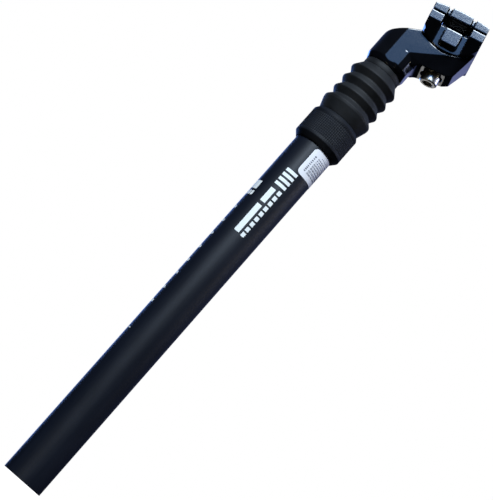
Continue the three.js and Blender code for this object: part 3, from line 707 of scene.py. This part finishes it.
class SEATPOST_OT_collar(bpy.types.Operator):
    """Builds the knurled collar nut"""

    bl_idname = "seatpost.collar"
    bl_label = "Collar"

    def execute(self, context):
        sizes, colours = context.scene.seatpost_sizes, context.scene.seatpost_colours
        # Inside it, the bore clears the tube, the ledge holds the wiper and the cup takes the boot's foot.
        wide = COLLAR[1].x
        bore, cup, wiper = TUBE_RADIUS + FIT_GAP, 14.0, 12.2
        ledge, ledge_low = 287.3, 285.1
        knurl_low, knurl_high = COLLAR_LOW + 5.4, COLLAR_HIGH - 3.6
        ribs, depth = sizes.knurl_ribs, sizes.knurl_depth / MM
        corner = sizes.collar_round / MM
        lower = [(bore, COLLAR_LOW), (wide, COLLAR_LOW + 3.9), (wide, knurl_low)]
        upper = [(wide, knurl_high), (wide, COLLAR_HIGH - 2.2), (15.6, COLLAR_HIGH), (cup, COLLAR_HIGH)]
        upper += [(cup, ledge), (wiper, ledge), (wiper, ledge_low), (bore, ledge_low)]
        smooth = rounded(lower + upper, corner, 4)
        band = np.linspace(knurl_low, knurl_high, 66)
        start = next(i for i, p in enumerate(smooth) if p[1] >= knurl_low - 0.01 and p[0] > wide - 0.01)
        end = next(i for i, p in enumerate(smooth) if p[1] >= knurl_high - 0.01)
        outline = smooth[:start] + [(wide, h) for h in band] + smooth[end + 1 :]
        pitch = 2 * math.pi * wide / ribs

        def knurl(angle, radius, height):
            inside = min(height - knurl_low, knurl_high - height)
            if inside < 0 or radius < wide - 0.01:
                return radius
            fade = min(1, inside / 0.5)
            rib = 0.5 + 0.5 * math.cos(angle * ribs)
            ring = 0.5 + 0.5 * math.cos(2 * math.pi * height / pitch)
            return radius - depth * fade * (1 - rib ** 0.6 * (0.55 + 0.45 * ring ** 0.6))

        collar = crisp(turned("collar_knurled", outline, ribs * 8, knurl), 50)
        finish_piece(collar, "outer", moulded_nylon(colours.collar), "collar", "collar_nut")
        return {"FINISHED"}


# ---- boot ----


def boot_waves():
    """Grooves and ridges of the boot's outside in turn, from the cone's edge up to the cuff."""
    ridge, groove = 17.4, 14.5
    first, last = BOOT_FIXED + 13.2, BOOT_HIGH - 10.3
    count = 6
    points = []
    for k in range(count):
        radius = groove if k % 2 == 0 else ridge
        points.append((radius, first + (last - first) * k / (count - 1)))
    return points


class SEATPOST_OT_boot(bpy.types.Operator):
    """Builds the rubber boot: foot, ridged bellows and cuff"""

    bl_idname = "seatpost.boot"
    bl_label = "Boot"

    def execute(self, context):
        sizes, colours = context.scene.seatpost_sizes, context.scene.seatpost_colours
        rubber = moulded_rubber("Rubber_moulded_boot", colours.boot, 0.62)
        wall, fold = sizes.boot_wall / MM, sizes.boot_round / MM
        cuff_low = BOOT_HIGH - 4.3
        cuff_bore, cuff_radius, foot_bore = 12.1, 13.2, 12.8
        bellows_top, edge = cuff_low + 0.25, 0.2
        cone = [(15.1, BOOT_FIXED, edge), (17.65, BOOT_FIXED + 7.6, 1.0), (17.8, BOOT_FIXED + 9.4, 1.1)]
        waves = [(r, h, fold * (0.75 if i % 2 == 0 else 1.3)) for i, (r, h) in enumerate(boot_waves())]
        outside = cone + waves + [(cuff_radius, bellows_top, edge)]
        inside = [(r - wall, h, c) for r, h, c in outside[::-1]]
        inside[0] = (cuff_bore, bellows_top, edge)
        inside[-1] = (foot_bore + 0.2, BOOT_FIXED, edge)
        bellows = turned("boot_bellows", rounded(outside + inside, 0.2, 7), 144)
        finish_piece(bellows, "outer", rubber, "boot_rubber", "boot")
        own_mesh(bellows)

        foot_radius, foot_top = 13.7, BOOT_FIXED - 0.05
        foot = [(foot_bore, BOOT_LOW), (foot_radius, BOOT_LOW)]
        foot += [(foot_radius, foot_top), (foot_bore, foot_top)]
        finish_piece(turned("boot_foot", rounded(foot, 0.25), 144), "outer", rubber, "boot_rubber")

        cuff = [(cuff_bore, cuff_low + 0.3), (cuff_radius, cuff_low + 0.3), (13.28, cuff_low + 2.0)]
        cuff += [(cuff_radius, cuff_low + 3.4), (13.3, BOOT_HIGH), (cuff_bore, BOOT_HIGH)]
        finish_piece(turned("boot_cuff", rounded(cuff, 0.3), 144), "leg", rubber, "boot_rubber")
        return {"FINISHED"}


# ---- spring, preload plug and inner pieces ----


class SEATPOST_OT_spring(bpy.types.Operator):
    """Winds the main coil spring as its lower and its upper turns, both carried on the outer tube"""

    bl_idname = "seatpost.spring"
    bl_label = "Main Spring"

    def execute(self, context):
        colours = context.scene.seatpost_colours
        # Oil-tempered spring steel: dark, with fine drawing marks.
        steel = metal("Steel_oil_tempered", colours.spring, 0.34, 0.8, (1, 1, 4), 0.01)
        wire, turns, lower_turns = 1.5, 12, 5
        radius = SPRING[1].x - wire
        low, high = SPRING[0].z + wire + 0.05, SPRING[1].z - wire - 0.05
        closed = 2 * wire * 1.04
        pitch = (high - low - 2 * closed) / (turns - 2)

        def height(turn):
            """Both end turns lie closed; the rest are evenly open."""
            ends = min(turn, 1) + max(turn - turns + 1, 0)
            return low + closed * ends + pitch * min(max(turn - 1, 0), turns - 2)

        def wind(name, first, last, per_turn=40, sides=12):
            points = []
            for k in range(first * per_turn, last * per_turn + 1):
                angle = 2 * math.pi * k / per_turn
                for s in range(sides):
                    across = 2 * math.pi * s / sides
                    reach = radius + wire * math.cos(across)
                    rise = height(k / per_turn) + wire * math.sin(across)
                    points.append((reach * math.cos(angle), reach * math.sin(angle), rise))
            faces = [list(range(sides)), list(range(len(points) - sides, len(points)))]
            for k in range((last - first) * per_turn):
                for s in range(sides):
                    a, b = k * sides + s, k * sides + (s + 1) % sides
                    faces.append([a, b, b + sides, a + sides])
            return crisp(mesh_object(name, points, faces), 60)

        lower = wind("spring_lower_turns", 0, lower_turns)
        finish_piece(lower, "outer", steel, "spring_steel", "main_spring")
        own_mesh(lower)
        upper = wind("spring_upper_turns", lower_turns, turns)
        finish_piece(upper, "outer", steel, "spring_steel")
        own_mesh(upper)
        return {"FINISHED"}


def hexagon(across, corner):
    """A hexagon that is across wide from flat to flat, with rounded corners."""
    points = []
    for k in range(6):
        angle = k * math.pi / 3
        points.append((across / math.sqrt(3) * math.cos(angle), across / math.sqrt(3) * math.sin(angle)))
    return rounded(points, corner, 4)


def hex_socket(screw, across, corner, face, depth, mouth, matrix=None):
    """Cuts a hex socket up into a screw's lower face. mouth is the lead-in's two radii and its depth."""
    wide, narrow, lead = mouth
    key = prism("socket", hexagon(across, corner), face - 1, face + depth, matrix=matrix)
    rim = [(0, face - 1), (wide, face - 1), (narrow, face + lead), (0, face + lead)]
    cone = turned("mouth", rim, 72, matrix=matrix, closed=False)
    return crisp(carve(screw, [("DIFFERENCE", key), ("DIFFERENCE", cone)]), 35)


class SEATPOST_OT_preload(bpy.types.Operator):
    """Builds the threaded preload plug with its hex socket, and its O-ring"""

    bl_idname = "seatpost.preload"
    bl_label = "Preload Plug"

    def execute(self, context):
        sizes, colours = context.scene.seatpost_sizes, context.scene.seatpost_colours
        low, high, wide = PLUG[0].z, PLUG[1].z, PLUG[1].x
        groove, half = high - 3.2, 1.0
        pitch, thread_depth, thread_low = sizes.plug_pitch / MM, 0.75, low + 0.9
        outline = [(0, low), (wide - 0.9, low), (wide - 0.2, low + 0.6)]
        outline += [(wide, h) for h in np.arange(thread_low, groove - half - 0.2, pitch / 8)]
        outline += [(wide, groove - half), (wide - 1.5, groove - half), (wide - 1.5, groove + half)]
        outline += [(wide, groove + half), (wide, high - 0.3), (wide - 0.3, high), (0, high)]

        def thread(angle, radius, height):
            if radius < wide - 0.01 or not thread_low < height < groove - half - 0.4:
                return radius
            phase = (height / pitch - angle / (2 * math.pi)) % 1
            return radius - thread_depth * abs(2 * phase - 1)

        plug = turned("preload_plug_body", outline, 96, thread, closed=False)
        hex_socket(plug, 8, 0.25, low, 8, (5.6, 4.4, 0.45))
        # Turned aluminium: bright, with rings left by the tool.
        alloy = metal("Aluminium_turned", colours.alloy, 0.3, 0.7, (0.2, 0.2, 2), 0.015)
        finish_piece(plug, "preload_screw", alloy, "alloy", "preload_plug")

        outer = span("plug_o_ring")[1].x
        wire = 0.75
        angles = np.linspace(0, 2 * math.pi, 17)[:-1]
        ring = [(outer - wire + wire * math.cos(a), groove + wire * math.sin(a)) for a in angles]
        o_ring = turned("plug_seal_ring", ring, 96)
        nitrile = moulded_rubber("Rubber_nitrile_seal", colours.boot, 0.45)
        finish_piece(o_ring, "preload_screw", nitrile, "rubber", "plug_o_ring")
        return {"FINISHED"}


class SEATPOST_OT_inner(bpy.types.Operator):
    """Finishes the guide, seats, stops and leg inside the tube"""

    bl_idname = "seatpost.inner"
    bl_label = "Inner Pieces"

    def execute(self, context):
        colours = context.scene.seatpost_colours
        # Acetal and nylon bearings: cream and waxy.
        acetal = polymer("Acetal_turned", colours.nylon, 0.42)
        # Black nylon for the spring's seats.
        seat = polymer("Nylon_turned_black", scaled(colours.collar, 1.2), 0.48)
        # Cast polyurethane: amber grey and slightly soft.
        urethane = polymer("Polyurethane_cast", scaled(colours.nylon, 0.7), 0.55, 2.5)
        # Hard-anodised leg, ground and polished along its length.
        leg = metal("Aluminium_ground", colours.alloy, 0.22, 0.6, (1, 1, 0.05), 0.006)
        # Cold-drawn steel keys and clip.
        steel = metal("Steel_cold_drawn", colours.spring, 0.36, 0.5, (1, 1, 0.3), 0.01)
        wiper = moulded_rubber("Rubber_nitrile_wiper", colours.boot, 0.5)
        finishes = {
            "guide_bushing": acetal,
            "guide_key_1": steel,
            "guide_key_2": steel,
            "guide_key_3": steel,
            "wiper_seal": wiper,
            "spacer_sleeve": acetal,
            "lower_spring_seat": seat,
            "bump_stop": urethane,
            "upper_spring_seat": seat,
            "inner_tube": leg,
            "retaining_ring": steel,
            "glide_ring": acetal,
            "topout_bumper": wiper,
        }
        for node, material in finishes.items():
            piece = frame["nodes"][node]
            piece.data.materials.clear()
            piece.data.materials.append(material)
            soften(piece, 0.12, 2)
        return {"FINISHED"}


# ---- head ----


def curve_to(outline, control, end, steps=10):
    """Adds a curve from the outline's last point, pulled towards one control point."""
    start = Vector(outline[-1])
    control, end = Vector(control), Vector(end)
    for k in range(1, steps + 1):
        t = k / steps
        outline.append(tuple(start * (1 - t) ** 2 + control * 2 * t * (1 - t) + end * t * t))


NECK_RADIUS = -HEAD[0].x
NECK_REAR = 13.6
FLAT_HALF = 14.65
FLARE_HALF = HEAD[1].y
SPIGOT_RADIUS, SOCKET_RADIUS = 11.8, 10.3

# Points of the head's side view, as (rearward, above the neck's lower edge).
SHOULDER_RISE = 18.0
HORN_FRONT, HORN_REAR = (-9.0, 24.5), (3.7, 32.5)
ARM_END, ARM_TOP = 39.5, 40.4
KEEL_FRONT, KEEL_REAR = (18.5, 14.9), (33.5, 19.7)
HEEL, HEEL_BEND = (36.7, 22.5), (36.0, 20.6)
ARMPIT_RISE, ARMPIT_BEND = 8.0, 13.5

# The clamp's round seat in the head, and the flat face below it that the bolt pulls against.
DISC_RADIUS = 26.0
SEAT_RADIUS = DISC_RADIUS + FIT_GAP
SEAT_FLOOR = -34.0
BOLT_RADIUS = 4.0
BOLT_HOLE = 4.3


def lifted(point):
    """A point of the head's side view, at its height in the post."""
    return point[0], HEAD_LOW + point[1]


def head_outline():
    """The head's side view, from the neck's front round the horn, the seat and the arm to its armpit."""
    up = HEAD_LOW
    outline = [(-NECK_RADIUS, up), (-NECK_RADIUS, up + SHOULDER_RISE)]
    slope = (HORN_REAR[1] - HORN_FRONT[1]) / (HORN_REAR[0] - HORN_FRONT[0])
    bend = (NECK_RADIUS + HORN_FRONT[0]) / 2
    start, end = Vector(outline[-1]), Vector(lifted(HORN_FRONT))
    first = start + Vector((0, bend))
    second = end - Vector((bend, bend * slope))
    for k in range(1, 13):
        t = k / 12
        s = 1 - t
        outline.append(tuple(start * s**3 + first * 3 * s * s * t + second * 3 * s * t * t + end * t**3))
    centre = CLAMP.translation
    outline += [lifted(HORN_REAR), (centre.x, centre.z), (ARM_END, up + ARM_TOP), lifted(HEEL)]
    curve_to(outline, lifted(HEEL_BEND), lifted(KEEL_REAR))
    outline.append(lifted(KEEL_FRONT))
    curve_to(outline, (NECK_REAR, up + ARMPIT_BEND), (NECK_REAR, up + ARMPIT_RISE))
    outline.append((NECK_REAR, up))
    return outline


def arm_points():
    """Corners of the arm: flat sides above, narrowing to a keel below."""
    up = HEAD_LOW
    corners = [
        (0, up + SHOULDER_RISE, FLAT_HALF),
        (6.2, up + 14.7, FLAT_HALF),
        (ARM_END, up + 38.8, FLARE_HALF),
        (8, up + 9, 11),
        (*lifted(KEEL_FRONT), 11.8),
        (*lifted(KEEL_REAR), 9.6),
        (*lifted(HEEL), 9.4),
        (ARM_END, up + ARM_TOP + 1, FLARE_HALF),
        (HORN_REAR[0], up + ARM_TOP, FLAT_HALF),
    ]
    return [(x, side * y, z) for x, z, y in corners for side in (-1, 1)]


def corner_points():
    """The fuller rear corners of the neck, tucked in at their lower end."""
    section = [(0, FLAT_HALF), (6.7, FLAT_HALF), (10.6, 12.2), (NECK_REAR, 7.5)]
    rows = [(1, 0.9), (3.6, 1), (14.7, 1)]
    return [
        (x * size, side * y * size, HEAD_LOW + rise)
        for rise, size in rows
        for x, y in section
        for side in (-1, 1)
    ]


def tilt_cylinder(name, radius, half, sides=192):
    """A cylinder along the clamp's tilt axis."""
    turn = CLAMP @ Matrix.Rotation(math.pi / 2, 4, "X")
    return rod(name, radius, -half, half, turn, sides)


class SEATPOST_OT_head(bpy.types.Operator):
    """Forges the head: neck, arm and the round seat for the clamp"""

    bl_idname = "seatpost.head"
    bl_label = "Head"

    def execute(self, context):
        sizes, colours = context.scene.seatpost_sizes, context.scene.seatpost_colours
        up, top = HEAD_LOW, HEAD_LOW + 34
        # A low skirt widens the neck from the boot's cuff.
        skirt = [(0, up), (13.6, up), (NECK_RADIUS, up + 3.6), (NECK_RADIUS, top), (0, top)]
        neck = turned("head_forging", skirt, 192, closed=False)
        flats = block("flats", (-20, NECK_RADIUS), (-FLAT_HALF, FLAT_HALF), (up - 1, top + 1))
        carve(neck, [("INTERSECT", flats), ("UNION", hull("arm", arm_points()))])
        carve(neck, [("UNION", hull("corners", corner_points()))])
        outline = prism("outline", head_outline(), -20, 20, "xzy")
        spigot = rod("spigot", SPIGOT_RADIUS, SPIGOT_LOW, up + 1)
        socket = rod("socket", SOCKET_RADIUS, SPIGOT_LOW - 1, up + 17.5)
        seat = tilt_cylinder("seat", SEAT_RADIUS, 24)
        hole = rod("hole", BOLT_HOLE, SEAT_FLOOR - 1, 0, CLAMP)
        recess = rod("recess", 7.0, SEAT_FLOOR - 20, SEAT_FLOOR, CLAMP)
        steps = [("INTERSECT", outline), ("UNION", spigot)]
        steps += [("DIFFERENCE", tool) for tool in (socket, seat, hole, recess)]
        head = cast(carve(neck, steps), sizes.paint_voxel, 6, 0.3)
        # Gloss black stoved paint on forged aluminium: mirror-like with soft edges.
        paint = gloss_paint("Paint_gloss_black_stoved", colours.paint, 0.12, 1.5)
        finish_piece(head, "leg", paint, "painted_head", "head")
        return {"FINISHED"}


# ---- saddle clamp ----

# In the clamp's own frame: X along the saddle's rails, Y across the bicycle, Z along the bolt.
RAIL_RADIUS = 3.6
RAIL_SIDE = 22.0
RAIL_HEIGHT = -9.2
CLAMP_END = 18.7
CLAMP_HALF = 27.0
DISC_HALF = 17.0
SPINE_LOW = -10.2
NUT_RADIUS = 6.35
NUT_HALF = 11.0


def rail_tools():
    """Cuts for the two rail channels."""
    turn = Matrix.Rotation(math.pi / 2, 4, "Y")
    tools = []
    for side in (-1, 1):
        place = CLAMP @ Matrix.Translation((0, side * RAIL_SIDE, RAIL_HEIGHT)) @ turn
        tools.append(("DIFFERENCE", rod("rail", RAIL_RADIUS, -25, 25, place, 64)))
    return tools


def slot_outline(depth):
    """A slot that clears the bolt over the whole tilt, at a depth measured from the tilt axis."""
    straight = depth * math.tan(TILT)
    outline = []
    for middle, start in ((straight, -math.pi / 2), (-straight, math.pi / 2)):
        for k in range(17):
            angle = start + math.pi * k / 16
            outline.append((middle + BOLT_HOLE * math.cos(angle), BOLT_HOLE * math.sin(angle)))
    return outline


class SEATPOST_OT_clamp(bpy.types.Operator):
    """Forges the lower and upper saddle clamps"""

    bl_idname = "seatpost.clamp"
    bl_label = "Saddle Clamp"

    def execute(self, context):
        sizes, colours = context.scene.seatpost_sizes, context.scene.seatpost_colours
        # Black paint over forged aluminium, a little less glossy than the head.
        paint = gloss_paint("Paint_satin_black_stoved", colours.clamp_paint, 0.14, 1.75)
        self.lower(sizes, paint)
        self.upper(sizes, paint)
        return {"FINISHED"}

    def lower(self, sizes, paint):
        lower = tilt_cylinder("clamp_lower_forging", DISC_RADIUS, DISC_HALF)
        pocket, below = -11.4, -30
        box = block("box", (-CLAMP_END, CLAMP_END), (-DISC_HALF - 1, DISC_HALF + 1), (below, pocket), CLAMP)
        steps = [("INTERSECT", box)]
        # The flanks draw in slightly towards the round underside.
        for side in (-1, 1):
            lean = [(side * DISC_HALF, pocket + 1), (side * (DISC_HALF - 1.5), -DISC_RADIUS)]
            lean += [(side * 20, below), (side * 20, pocket + 1)]
            steps.append(("DIFFERENCE", prism("lean", lean, -20, 20, "yzx", CLAMP)))
        # A wing at each end carries the two rails' lips.
        right = [(CLAMP_HALF, -8.75), (CLAMP_HALF, -14.2), (DISC_HALF, -23.5)]
        lip = [(-CLAMP_HALF, -8.75), *right, (-DISC_HALF, -23.5), (-CLAMP_HALF, -14.2)]
        for x0, x1 in ((-CLAMP_END, -9.8), (9.8, CLAMP_END)):
            wing = prism("wing", lip, x0, x1, "yzx", CLAMP)
            carve(wing, [("INTERSECT", tilt_cylinder("round", DISC_RADIUS, 28))])
            steps.append(("UNION", wing))
        # A raised pad on each flank, between the wings.
        pad = rounded([(-5.6, -13.2, 0), (-5.6, -22.9, 1.6), (5.6, -22.9, 1.6), (5.6, -13.2, 0)], 0, 8)
        for y0, y1 in ((14, 22), (-22, -14)):
            steps.append(("UNION", prism("pad", pad, y0, y1, "xzy", CLAMP)))
        steps += rail_tools()
        steps.append(("DIFFERENCE", prism("slot", slot_outline(DISC_RADIUS), -29, 0, matrix=CLAMP)))
        piece = cast(carve(lower, steps), sizes.paint_voxel, 5, 0.4)
        finish_piece(piece, "lower", paint, "painted_clamp", "lower_clamp")

    def upper(self, sizes, paint):
        # Its top is arched along the rails, and a spine below it reaches in between them.
        low, end, arch = -7.65, -3.5, 1.8
        outline = [(-CLAMP_END, low), (-CLAMP_END, end)]
        curve_to(outline, (0, end + 2 * arch), (CLAMP_END, end), 24)
        outline.append((CLAMP_END, low))
        upper = prism("clamp_upper_forging", outline, -CLAMP_HALF, CLAMP_HALF, "xzy", CLAMP)
        spine = block("spine", (-9.2, 9.2), (-14, 14), (SPINE_LOW, low + 1), CLAMP)
        steps = [("UNION", spine)] + rail_tools()
        for side in (-1, 1):
            for edge in (-1, 1):
                xs = sorted((edge * 7.0, edge * 9.5))
                ys = sorted((side * (CLAMP_HALF - 3.2), side * (CLAMP_HALF + 1)))
                steps.append(("DIFFERENCE", block("notch", xs, ys, (low - 1, 1), CLAMP)))
        steps.append(("DIFFERENCE", tilt_cylinder("groove", NUT_RADIUS + FIT_GAP, NUT_HALF + FIT_GAP)))
        steps.append(("DIFFERENCE", prism("slot", slot_outline(-SPINE_LOW), -11, 1, matrix=CLAMP)))
        piece = cast(carve(upper, steps), sizes.paint_voxel, 5, 0.4)
        finish_piece(piece, "upper", paint, "painted_clamp", "upper_clamp")


class SEATPOST_OT_fasteners(bpy.types.Operator):
    """Builds the socket-head bolt, its washer and the barrel nut"""

    bl_idname = "seatpost.fasteners"
    bl_label = "Bolt, Washer and Nut"

    def execute(self, context):
        sizes, colours = context.scene.seatpost_sizes, context.scene.seatpost_colours
        # Bright zinc plate on steel: silver with a warm cast and fine turning rings.
        zinc = metal("Steel_zinc_plated", colours.zinc, 0.34, 0.5, (1, 1, 1), 0.008)
        # Heights along the bolt: its head's two faces, the thread's start and its tip.
        face, bearing, thread_low, tip = -43.9, -35.9, -12.5, 5.6
        pitch, thread_depth, run_in = sizes.thread_pitch / MM, 0.7, 1.5
        cap = [(0, face), (5.2, face, 0.1), (5.9, face + 0.7, 0.3), (5.9, bearing - 0.4, 0.3)]
        cap = rounded(cap, 0, 5, False) + [(5.6, bearing), (BOLT_RADIUS, bearing)]
        shank = [(BOLT_RADIUS, h) for h in np.arange(thread_low + 0.5, tip - 0.7, pitch / 8)]
        outline = cap + [(BOLT_RADIUS, thread_low - 0.5)] + shank + [(3.9, tip - 0.6), (3.2, tip), (0, tip)]

        def thread(angle, radius, height):
            if height < thread_low or radius < BOLT_RADIUS - 0.05 or height > tip - 0.6:
                return radius
            phase = (height / pitch - angle / (2 * math.pi)) % 1
            fade = min(1, (height - thread_low) / run_in)
            return radius - thread_depth * abs(2 * phase - 1) * fade

        bolt = turned("clamp_screw", outline, 72, thread, CLAMP, closed=False)
        hex_socket(bolt, 6, 0.2, face, 5.4, (4.6, 3.3, 0.35), CLAMP)
        finish_piece(bolt, "bolt", zinc, "bolt_steel", "clamp_bolt")

        low, high, wide = bearing + FIT_GAP, bearing + 1.6, 6.7
        ring = rounded([(BOLT_HOLE, low), (wide, low), (wide, high), (BOLT_HOLE, high)], 0.2, 3)
        washer = turned("bolt_washer_ring", ring, 96, matrix=CLAMP)
        # Phosphated washer: dark grey and matt.
        phosphated = metal("Steel_phosphated", scaled(colours.spring, 0.15), 0.55, 0.6, (1, 1, 1), 0.01)
        finish_piece(washer, "leg", phosphated, "steel", "bolt_washer")

        nut = tilt_cylinder("barrel_nut", NUT_RADIUS, NUT_HALF, 128)
        # Its top is cut flat.
        cap = block("cap", (-10, 10), (-20, 20), (-20, 2.6), CLAMP)
        hole = rod("hole", BOLT_HOLE, -20, 20, CLAMP)
        nut = carve(nut, [("INTERSECT", cap), ("DIFFERENCE", hole)])
        soften(nut, 0.35, 3)
        crisp(settle(nut), 35)
        finish_piece(nut, "nut", zinc, "steel", "clamp_nut")
        return {"FINISHED"}


# ---- stage ----


def area_light(name, place, target, size, power, tint):
    data = bpy.data.lights.new(name, "AREA")
    data.shape = "RECTANGLE"
    data.size, data.size_y = size
    data.energy = power
    data.color = tint
    light = bpy.data.objects.new(name, data)
    light.location = place
    light.rotation_mode = "QUATERNION"
    light.rotation_quaternion = (Vector(target) - Vector(place)).to_track_quat("-Z", "Y")
    light.visible_camera = False
    bpy.context.scene.collection.objects.link(light)


def studio_world():
    """A white backdrop, with a soft bluish glow behind the post and a dark room round it."""
    world = bpy.data.worlds.new("studio")
    world.use_nodes = True
    tree = world.node_tree
    tree.nodes.clear()
    place = add(tree, "ShaderNodeTexCoord").outputs["Generated"]
    glow = add(tree, "ShaderNodeVectorMath", {"operation": "DOT_PRODUCT", 1: (0.12, 0.98, 0.15)}, i0=place)
    ramp = add(tree, "ShaderNodeValToRGB", Fac=glow.outputs["Value"])
    stops = [(0.0, (0.008, 0.01, 0.016)), (0.4, (0.02, 0.03, 0.07)), (0.8, (0.05, 0.075, 0.19))]
    stops += [(0.96, (0.07, 0.09, 0.22)), (1.0, (0.28, 0.31, 0.6))]
    elements = ramp.color_ramp.elements
    while len(elements) < len(stops):
        elements.new(0.5)
    for element, (position, tint) in zip(elements, stops):
        element.position = position
        element.color = (*tint, 1)
    # The glow stops at the level of the table top.
    height = add(tree, "ShaderNodeSeparateXYZ", i0=place).outputs["Z"]
    strength = ranged(tree, height, 0.03, 1.35, -0.05, 0.1)
    room = add(tree, "ShaderNodeBackground", Color=ramp.outputs["Color"], Strength=strength)
    white = add(tree, "ShaderNodeBackground", {"Color": (1, 1, 1, 1), "Strength": 1.0})
    seen = add(tree, "ShaderNodeLightPath").outputs["Is Camera Ray"]
    mix = add(tree, "ShaderNodeMixShader", i0=seen, i1=room.outputs[0], i2=white.outputs[0])
    add(tree, "ShaderNodeOutputWorld", Surface=mix.outputs[0])
    bpy.context.scene.world = world


class SEATPOST_OT_stage(bpy.types.Operator):
    """Sets the pale floor, the soft lights and the camera"""

    bl_idname = "seatpost.stage"
    bl_label = "Stage"

    def execute(self, context):
        scene = context.scene
        studio_world()
        floor = block("floor", (-2500, 2500), (-2500, 2500), (-3.5, -0.5))
        settings = {"Roughness": 0.9, "Emission Color": (1, 1, 1, 1), "Emission Strength": 1.0}
        material, tree, shader, place = surface("Paper_backdrop_white", settings)
        tone = pattern(tree, place, 60, detail=2)
        tree.links.new(tinted(tree, tone, (0.86, 0.86, 0.87), (0.9, 0.9, 0.9)), shader.inputs["Base Color"])
        floor.data.materials.append(material)
        floor.visible_glossy = False
        floor.visible_diffuse = False
        floor.visible_shadow = False

        area_light("key", (-0.4, -2.7, 2.6), (0, 0, 0.2), (1.6, 1.6), 185, (0.85, 0.98, 1.1))
        area_light("fill", (2.1, 0.5, 1.7), (0, 0, 0.25), (1.0, 1.0), 15, (0.7, 0.78, 1.2))
        area_light("left_sky", (-0.8, 1.5, 0.4), (0, 0, 0.2), (0.9, 0.9), 11, (0.18, 0.36, 1.0))
        area_light("under_glow", (0.07, 0.742, 0.056), (0.026, 0, 0.35), (0.16, 0.16), 0.08, (1, 1, 1))
        area_light("front_panel", (-0.15, -1.25, 0.86), (0, 0, 0.36), (0.55, 0.5), 1.7, (0.22, 0.47, 1.0))
        area_light("low_glint", (-0.12, -0.684, -0.38), (0, 0, 0.34), (0.1, 0.1), 0.6, (1.0, 0.86, 0.55))
        area_light("rear_glint", (1.0, -0.12, 0.58), (0.03, 0, 0.37), (0.12, 0.12), 0.8, (1.0, 0.88, 0.6))

        camera = bpy.data.objects.new("camera", bpy.data.cameras.new("camera"))
        camera.data.lens = 110.16
        camera.data.sensor_width = 36
        camera.data.clip_start = 0.01
        camera.location = (0.123078, -0.910307, -0.000407)
        camera.rotation_euler = [math.radians(a) for a in (105.66607, -40.21809, -3.17240)]
        scene.collection.objects.link(camera)
        scene.camera = camera
        scene.view_settings.view_transform = "Standard"
        return {"FINISHED"}


# ---- add-on ----

BUILD_ORDER = (
    SEATPOST_OT_stage,
    SEATPOST_OT_tube,
    SEATPOST_OT_print,
    SEATPOST_OT_label,
    SEATPOST_OT_collar,
    SEATPOST_OT_boot,
    SEATPOST_OT_spring,
    SEATPOST_OT_preload,
    SEATPOST_OT_inner,
    SEATPOST_OT_head,
    SEATPOST_OT_clamp,
    SEATPOST_OT_fasteners,
)


class SEATPOST_PT_panel(bpy.types.Panel):
    """Lists the pieces, their sizes and their colours"""

    bl_idname = "SEATPOST_PT_panel"
    bl_label = "Suspension Seatpost"
    bl_space_type = "VIEW_3D"
    bl_region_type = "UI"
    bl_category = "Seatpost"

    def draw(self, context):
        for kind in BUILD_ORDER:
            self.layout.operator(kind.bl_idname)
        for group in (context.scene.seatpost_sizes, context.scene.seatpost_colours):
            box = self.layout.box()
            for name in group.__annotations__:
                box.prop(group, name)


CLASSES = (SeatpostSizes, SeatpostColours, *BUILD_ORDER, SEATPOST_PT_panel)


def register():
    for kind in CLASSES:
        bpy.utils.register_class(kind)
    bpy.types.Scene.seatpost_sizes = bpy.props.PointerProperty(type=SeatpostSizes)
    bpy.types.Scene.seatpost_colours = bpy.props.PointerProperty(type=SeatpostColours)


def unregister():
    del bpy.types.Scene.seatpost_sizes
    del bpy.types.Scene.seatpost_colours
    for kind in reversed(CLASSES):
        bpy.utils.unregister_class(kind)


def main():
    register()
    for kind in BUILD_ORDER:
        group, name = kind.bl_idname.split(".")
        getattr(getattr(bpy.ops, group), name)()


if __name__ == "__main__":
    main()
